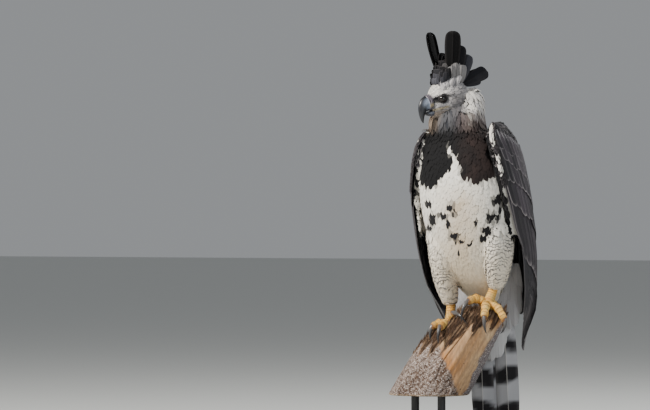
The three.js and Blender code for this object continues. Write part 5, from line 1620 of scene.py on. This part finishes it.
scaly = scaly_material()
LEG_YELLOW = shade(230, 172, 62)
LEG_PALE = shade(240, 208, 128)
TOE_BROWN = shade(132, 80, 38)
CREASE_SHADE = shade(92, 54, 26)
for side, label in ((LEFT, "left"), (RIGHT, "right")):
    foot = FEET[label]
    z, x, front, back, _ = THIGH_ROWS[side][0]
    top = np.array([x, (front + back) / 2, z + 22])
    ball = np.array(foot["ball"], float)
    shank = [top, (top + ball) / 2 + [0, 3, 0], ball]
    forms = [
        swept_rings(shank, SHANK_TAPER, SHANK_FRONT, 170, sides=40, plates=SHANK_PLATES),
        ball_form(ball, BALL_RADII),
    ]
    limbs = [limb_line(shank, SHANK_FRONT, 120) + (SHANK_PLATES,)]
    for name in TOE_RADIUS:
        bend, end, _, dorsal = (np.array(v, float) for v in foot[name])
        path = toe_path(ball, bend, end)
        r = TOE_RADIUS[name]
        forms.append(swept_rings(path, lambda q, r=r: TOE_TAPER(q) * r, dorsal, 130, sides=36,
                                 plates=TOE_PLATES))
        limbs.append(limb_line(path, dorsal, 90) + (TOE_PLATES,))
        # swollen pads under the joint, the middle and the end of the toe
        for place, under, size in ((bend, 0.32, [0.86, 0.86, 0.8]),
                                   ((ball + bend) / 2, 0.3, [0.85, 0.85, 0.75]),
                                   (end, 0.22, [0.72, 0.72, 0.66])):
            forms.append(ball_form(place - unit(dorsal) * r * under, np.array(size) * r))
    leg = joined_object("leg_" + label, forms)
    fused(leg, FOOT_VOXEL, 0.4, 1)
    places, normals = mesh_points(leg)
    ends = np.array([foot[name][1] for name in TOE_RADIUS], float)
    near_claw = np.min(np.linalg.norm(places[:, None] - ends[None], axis=2), axis=1)
    # painted shade: the creases between plates are darkened, and so are the undersides
    middles = KDTree(sum(len(limb[0]) for limb in limbs))
    steps, backs = [], []
    for q, centre, _, up, plates in limbs:
        for share, place, back in zip(q, centre, up):
            middles.insert(Vector(place), len(steps))
            steps.append((share * plates + 0.5) % 1.0 - 0.5)
            backs.append(back)
    middles.balance()
    nearest_step = np.array([middles.find(Vector(p))[1] for p in places])
    back = (normals * np.array(backs)[nearest_step]).sum(1)
    crease = np.exp(-(np.array(steps)[nearest_step] / 0.09) ** 2) * ease(back, -0.5, 0)
    tone = blend_between(LEG_YELLOW, LEG_PALE, 0.5 + 0.5 * wobble(places, 14))
    tone = blend_between(tone, TOE_BROWN, 0.75 * ease(near_claw, 15, 5))
    tone = blend_between(tone, CREASE_SHADE, np.maximum(0.8 * crease, 0.45 * ease(back, -0.3, -0.9)))
    paint(leg, tone)
    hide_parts("tarsus_" + label, "foot_" + label)
    settled(leg, scaly)

# Claws
# Eight curved hooks of dark polished horn, oval in section, each seated in the end of its toe. The
# inner and hind ones are the longest.
CLAW_LENGTH = {"inner": 58, "middle": 44, "outer": 40, "hind": 64}
CLAW_SWEEP = 1.35
CLAW_STEPS = 14
CLAW_RINGS, CLAW_SIDES = 46, 22
CLAW_TAPER = track([[0, 0.66], [0.25, 0.55], [0.6, 0.33], [0.9, 0.13], [1, 0.03]])
claw_horn = horn_material("claw horn", 0.22)
for label, foot in FEET.items():
    for name, length in CLAW_LENGTH.items():
        end, heading, dorsal = (np.array(v, float) for v in foot[name][1:])
        heading = unit(heading)
        up = unit(dorsal - heading * (dorsal @ heading))
        stride = length / CLAW_STEPS
        path = [end - heading * 3]
        place = end + heading * 0.8
        for i in range(CLAW_STEPS + 1):
            path.append(place)
            turn = CLAW_SWEEP * (i + 0.5) / CLAW_STEPS
            place = place + heading * math.cos(turn) * stride - up * math.sin(turn) * stride
        r = TOE_RADIUS[name]
        claw = joined_object("claw_horn_%s_%s" % (label, name), [swept_rings(
            path, lambda q, r=r: CLAW_TAPER(q) * r, dorsal, CLAW_RINGS, sides=CLAW_SIDES, flatten=0.78,
            lateral=np.cross(heading, up))])
        smooth_faces(claw)
        q = np.repeat(np.linspace(0, 1, CLAW_RINGS), CLAW_SIDES)
        paint(claw, blend_between(shade(92, 88, 86), shade(26, 25, 28), ease(q, 0.1, 0.75)))
        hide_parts("claw_%s_%s" % (label, name))
        settled(claw, claw_horn)

# Perch
# A cut length of a dead limb: bare tan wood where the bark has gone, speckled grey bark on the
# lower left and down the right edge, and a torn, fibrous, weathered break under the feet.
PERCH_VOXEL = 1.7
GRAIN = unit([0.46, 0.0, 0.89])
BREAK_LINE = track([[-150, 262], [-60, 268], [-14, 284], [16, 306], [46, 318], [90, 332]])
LIMB_AXIS = np.array([[150, -110], [215, -70], [287, -24], [330, 12], [372, 46]])
LIMB_HALF = np.array([[150, 100], [330, 80], [372, 58]])
SPLINTERS = {"Per area": 45000.0, "Length": 0.013, "Thickness": 0.0013, "Seed": 4}

perch_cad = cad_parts["perch"]
perch = bpy.data.objects.new("limb", perch_cad.data.copy())
bpy.context.scene.collection.objects.link(perch)
turn_outward(perch)
perch.data.materials.clear()
fused(perch, PERCH_VOXEL, 0.5, 3)
places, normals = mesh_points(perch)
x, y, z = places.T
axis_x = np.interp(z, *LIMB_AXIS.T)
turn = np.arctan2(y, x - axis_x)
fibre = np.abs(np.sin(turn * 19 + 1.3 * wobble(places, 30) + z / 50)) - 0.6
fibre = fibre + 0.5 * (np.abs(np.sin(turn * 43 + 1.2 * wobble(places, 18, 3.0))) - 0.6)
torn = ease(z + 15 * np.sin(turn * 12 + 2 * wobble(places, 40)) + 9 * fibre, BREAK_LINE(x)[:, 0] - 6,
            BREAK_LINE(x)[:, 0] + 5)
across = places @ ACROSS_VIEW
bark_left = ease(across + 0.433 * z + 7 * wobble(places, 22) + 3 * wobble(places, 7), 46, 38)
own_across = (across - 0.9135 * axis_x) / np.interp(z, *LIMB_HALF.T)
bark_right = ease(own_across + 0.05 * wobble(places, 20, 2.0), 0.84, 0.9)
bark_back = ease(y + 10 * wobble(places, 30, 4.0), 14, 34)
bark = np.clip(np.maximum(np.maximum(bark_left, bark_right), bark_back), 0, 1) * (1 - torn)
grooves = np.sin(turn * 31 + 2.5 * np.sin(z / 60)) * 0.5 + np.sin(turn * 57 + z / 35) * 0.3
rough = wobble(places, 5.5) * 0.8 + wobble(places, 3, 5.0) * 0.6
crack = np.exp(-((turn + 1.25 + 0.05 * np.sin(z / 17)) / 0.02) ** 2) * ease(z, 175, 200) * (1 - torn)
short_crack = np.exp(-((turn + 1.62 + 0.06 * np.sin(z / 23)) / 0.014) ** 2) * ease(z, 230, 250)
crack = np.maximum(crack, 0.6 * short_crack)
height = bark * (1.1 + 0.8 * rough) + (1 - bark) * 0.55 * grooves - 2.4 * crack
height = height * (1 - torn) + torn * (3.4 * fibre - 0.8)
flat_end = ease(z, 156, 151)
moved = places + normals * (np.clip(height, -3.4, 2.2) * (1 - flat_end))[:, None]
moved[:, 2] = np.where(flat_end > 0.5, places[:, 2], moved[:, 2])
perch.data.vertices.foreach_set("co", (moved * MM).astype(np.float32).ravel())
perch.data.update()
wood = blend_between(shade(205, 176, 140), shade(184, 128, 78),
                     np.clip(0.5 + 0.6 * wobble(places, 34, 7.0), 0, 1))
wood = blend_between(wood, shade(150, 128, 108), 0.4 * ease(grooves, 0.1, -0.6))
bark_tone = blend_between(shade(158, 144, 136), shade(58, 44, 38),
                          ease(rough + 0.5 * wobble(places, 45, 9.0), 0.3, -0.5))
bark_tone = blend_between(bark_tone, shade(120, 126, 140), 0.7 * bark_right)
torn_tone = blend_between(shade(48, 36, 29), shade(158, 132, 106),
                          0.8 * ease(fibre, 0.1, 0.5) * ease(wobble(places, 16, 6.0), -0.4, 0.5))
tone = blend_between(wood, bark_tone, bark)
tone = blend_between(tone, torn_tone, torn)
# painted shade: the cracks are darkened in their hollows
tone = blend_between(tone, shade(40, 30, 24), np.clip(crack, 0, 1) * 0.9)
tone = blend_between(tone, shade(196, 168, 130), flat_end * 0.9)
paint(perch, tone)
for label, values in (("Torn", torn * ease(normals[:, 2], -0.5, 0.1)), ("Bark", bark)):
    layer = perch.data.attributes.new(label, "FLOAT", "POINT")
    layer.data.foreach_set("value", values.astype(np.float32))


def limb_material():
    """Weathered wood and speckled bark: streaks along the grain, dark pits and pale crust."""
    made = Shader("dead limb")
    own = made.attribute("Colour").outputs["Color"]
    bark_share = made.attribute("Bark").outputs["Fac"]
    streaks = made.noise(60, 5, 0.65, made.add("Mapping", links={"Vector": made.place()}, values={
        "Rotation": (0, math.radians(-27), 0), "Scale": (3.4, 3.4, 0.35)}).outputs[0])
    specks = made.noise(560, 3, 0.75)
    pits = made.add("TexVoronoi", feature="F1", values={"Scale": 48.0, "Randomness": 1.0})
    made.tree.links.new(made.place(), pits.inputs["Vector"])
    tone = made.mix(made.between(streaks, 0.38, 0.66, 0.4, 0), own, shade(112, 82, 58))
    speckle = made.maths("MULTIPLY", made.between(specks, 0.48, 0.56), bark_share)
    tone = made.mix(speckle, tone, shade(74, 58, 50))
    crust = made.maths("MULTIPLY", made.between(made.noise(300, 4, 0.75), 0.55, 0.6, 0, 0.8), bark_share)
    tone = made.mix(crust, tone, shade(206, 196, 190))
    pit = made.between(pits.outputs["Distance"], 0.13, 0.08)
    tone = made.mix(made.maths("MULTIPLY", pit, 0.8), tone, shade(44, 32, 26))
    height = made.maths("ADD", made.maths("MULTIPLY", specks, 0.6), streaks)
    made.bump(height, 0.7, 0.0016)
    made.put(Base_Color=tone, Roughness=0.88, Specular_IOR_Level=0.25)
    return made.material


def splinter_tree(material):
    """Tapered splinters rooted where the wood is torn, all leaning along its grain."""
    tree = bpy.data.node_groups.new("splinters", "GeometryNodeTree")
    for name, kind in (("Geometry", "Geometry"), ("Per area", "Float"), ("Length", "Float"),
                       ("Thickness", "Float"), ("Seed", "Int")):
        tree.interface.new_socket(name, in_out="INPUT", socket_type="NodeSocket" + kind)
    tree.interface.new_socket("Geometry", in_out="OUTPUT", socket_type="NodeSocketGeometry")
    given = node_in(tree, "NodeGroupInput").outputs
    torn_share = node_in(tree, "GeometryNodeInputNamedAttribute", values={"Name": "Torn"})
    density = node_in(tree, "ShaderNodeMath", {0: torn_share.outputs["Attribute"], 1: given["Per area"]},
                      operation="MULTIPLY")
    scatter = node_in(tree, "GeometryNodeDistributePointsOnFaces", {
        "Mesh": given["Geometry"], "Density": density.outputs[0], "Seed": given["Seed"]})
    splinter = node_in(tree, "GeometryNodeMeshCone", {
        "Radius Bottom": given["Thickness"], "Depth": given["Length"]}, {"Vertices": 5, "Side Segments": 2})
    lean = node_in(tree, "FunctionNodeRandomValue", data_type="FLOAT_VECTOR",
                   values={"Min": GRAIN - 0.3, "Max": GRAIN + 0.3})
    turned = node_in(tree, "FunctionNodeAlignRotationToVector", {"Vector": lean.outputs["Value"]}, axis="Z")
    size = node_in(tree, "FunctionNodeRandomValue", data_type="FLOAT_VECTOR",
                   values={"Min": (0.4, 0.4, 0.4), "Max": (1.9, 1.1, 1.5)})
    placed = node_in(tree, "GeometryNodeInstanceOnPoints", {
        "Points": scatter.outputs["Points"], "Instance": splinter.outputs["Mesh"],
        "Rotation": turned.outputs["Rotation"], "Scale": size.outputs["Value"]})
    real = node_in(tree, "GeometryNodeRealizeInstances", {"Geometry": placed.outputs["Instances"]})
    clothed = node_in(tree, "GeometryNodeSetMaterial", {"Geometry": real.outputs["Geometry"]},
                      {"Material": material})
    node_in(tree, "NodeGroupOutput", {"Geometry": clothed.outputs["Geometry"]})
    return tree


def grown_over(base, tree, name, sizes):
    """The plain mesh that a tree grows over an object, with its inputs set by name."""
    holder = bpy.data.objects.new(name, base.data.copy())
    bpy.context.scene.collection.objects.link(holder)
    grow = holder.modifiers.new("grow", "NODES")
    grow.node_group = tree
    for item in tree.interface.items_tree:
        if item.in_out == "INPUT" and item.name in sizes:
            grow[item.identifier] = sizes[item.name]
    seen = holder.evaluated_get(bpy.context.evaluated_depsgraph_get())
    grown = bpy.data.meshes.new_from_object(seen)
    holder.modifiers.clear()
    holder.data = grown
    return holder


limb_wood = limb_material()
perch.data.materials.append(limb_wood)
splinters = grown_over(perch, splinter_tree(limb_wood), "splinters", SPLINTERS)
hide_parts("perch")
for wooden in (perch, splinters):
    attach(wooden, "root")

# Display stand
# A square board with rounded corners, painted black with rubbed patches, and two steel rods
# screwed into it, each with a thin collar, that carry the limb.
BOARD = {"middle": (-20, 25), "long": 450, "wide": 400, "high": 20, "corner": 26, "bevel": 3}
RODS = [(-142, 6), (-72, 6)]
ROD_RADIUS = 10
ROD_TOP = 149.7
ROD_SIDES = 40


def rounded_plate(middle, long, wide, high, corner, bevel, turns=10):
    """Rings of a board with round corners and a rounded upper and lower edge."""
    quarter = np.linspace(0, math.pi / 2, turns)
    corners = [(1, 1, 0), (-1, 1, 1), (-1, -1, 2), (1, -1, 3)]
    rise = np.linspace(0, math.pi / 2, 5)
    levels = [(-bevel * (1 - math.sin(r)), bevel * (1 - math.cos(r))) for r in rise]
    levels += [(-bevel * (1 - math.sin(r)), high - bevel * (1 - math.cos(r))) for r in rise[::-1]]
    rings = []
    for inset, z in levels:
        ring = []
        for sx, sy, quarters in corners:
            angle = quarter + quarters * math.pi / 2
            reach = corner + inset
            ring.append(np.stack([middle[0] + sx * (long / 2 - corner) + reach * np.cos(angle),
                                  middle[1] + sy * (wide / 2 - corner) + reach * np.sin(angle),
                                  np.full(turns, z)], 1))
        rings.append(np.concatenate(ring))
    return np.concatenate(rings), ring_faces(len(levels), 4 * turns)


def painted(name, tone, rub, roughness, scale):
    """Satin paint with brushed unevenness, dust and small rubbed places."""
    made = Shader(name)
    cloud = made.noise(scale, 5, 0.6)
    grain = made.noise(scale * 40, 2)
    colour = made.mix(made.between(cloud, 0.45, 0.75, 0, 0.5), tone, rub)
    made.bump(grain, 0.15, 0.0002)
    made.put(Base_Color=colour, Roughness=made.between(cloud, 0.3, 0.7, roughness, roughness + 0.2))
    return made.material


board = joined_object("board", [rounded_plate(**BOARD)])
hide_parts("stand_base")
settled(board, painted("black board", shade(18, 17, 16), shade(52, 48, 44), 0.4, 14))
steel = painted("blackened steel", shade(20, 20, 21), shade(58, 57, 56), 0.3, 90)
for i, (rod_x, rod_y) in enumerate(RODS):
    profile = [(0, 20.3), (19, 20.3), (19, 23), (17.5, 24.4), (10.6, 24.8), (ROD_RADIUS, 26.5),
               (ROD_RADIUS, ROD_TOP - 1), (ROD_RADIUS - 1, ROD_TOP), (0, ROD_TOP)]
    turns = np.arange(ROD_SIDES) / ROD_SIDES * 2 * math.pi
    rings = [np.stack([rod_x + max(r, 0.01) * np.cos(turns), rod_y + max(r, 0.01) * np.sin(turns),
                       np.full(ROD_SIDES, z)], 1) for r, z in profile]
    rod = joined_object("rod_%d" % (i + 1), [(np.concatenate(rings), ring_faces(len(profile), ROD_SIDES))])
    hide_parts("stand_rod_%d" % (i + 1))
    settled(rod, steel)

# Floor and studio light
# A wide pale floor in a pale room, a soft key light high on the left, and softer fills.
FLOOR_SIZE = 60
ROOM_TINT = (0.80, 0.83, 0.86, 1)
ROOM_STRENGTH = 0.36
LIGHTS = [
    {"name": "key", "place": (-1.5, -2.8, 3.0), "aim": (0, 0, 0.65), "size": 0.6, "power": 300,
     "tint": (1.0, 0.97, 0.91)},
    {"name": "fill", "place": (3.0, -2.2, 1.6), "aim": (0, 0, 0.6), "size": 2.0, "power": 34,
     "tint": (0.86, 0.93, 1.0)},
    {"name": "rim", "place": (1.6, 2.6, 2.6), "aim": (0, 0, 0.6), "size": 1.2, "power": 70,
     "tint": (1.0, 1.0, 1.0)},
]

floor = mesh_object("floor", np.array([(-1, -1, 0), (1, -1, 0), (1, 1, 0), (-1, 1, 0)]) * FLOOR_SIZE / MM / 2,
                    [(0, 1, 2, 3)])
ground = Shader("pale floor")
ground.put(Base_Color=(0.62, 0.63, 0.61, 1), Roughness=0.9)
floor.data.materials.append(ground.material)

room = bpy.data.worlds.new("pale room")
bpy.context.scene.world = room
room.use_nodes = True
room.node_tree.nodes["Background"].inputs["Color"].default_value = ROOM_TINT
room.node_tree.nodes["Background"].inputs["Strength"].default_value = ROOM_STRENGTH


def soft_light(name, place, aim, size, power, tint):
    made = bpy.data.lights.new(name, "AREA")
    made.shape = "DISK"
    made.size = size
    made.energy = power
    made.color = tint
    lamp = bpy.data.objects.new(name, made)
    bpy.context.scene.collection.objects.link(lamp)
    lamp.location = place
    lamp.rotation_euler = (Vector(aim) - Vector(place)).to_track_quat("-Z", "Y").to_euler()


for light in LIGHTS:
    soft_light(**light)
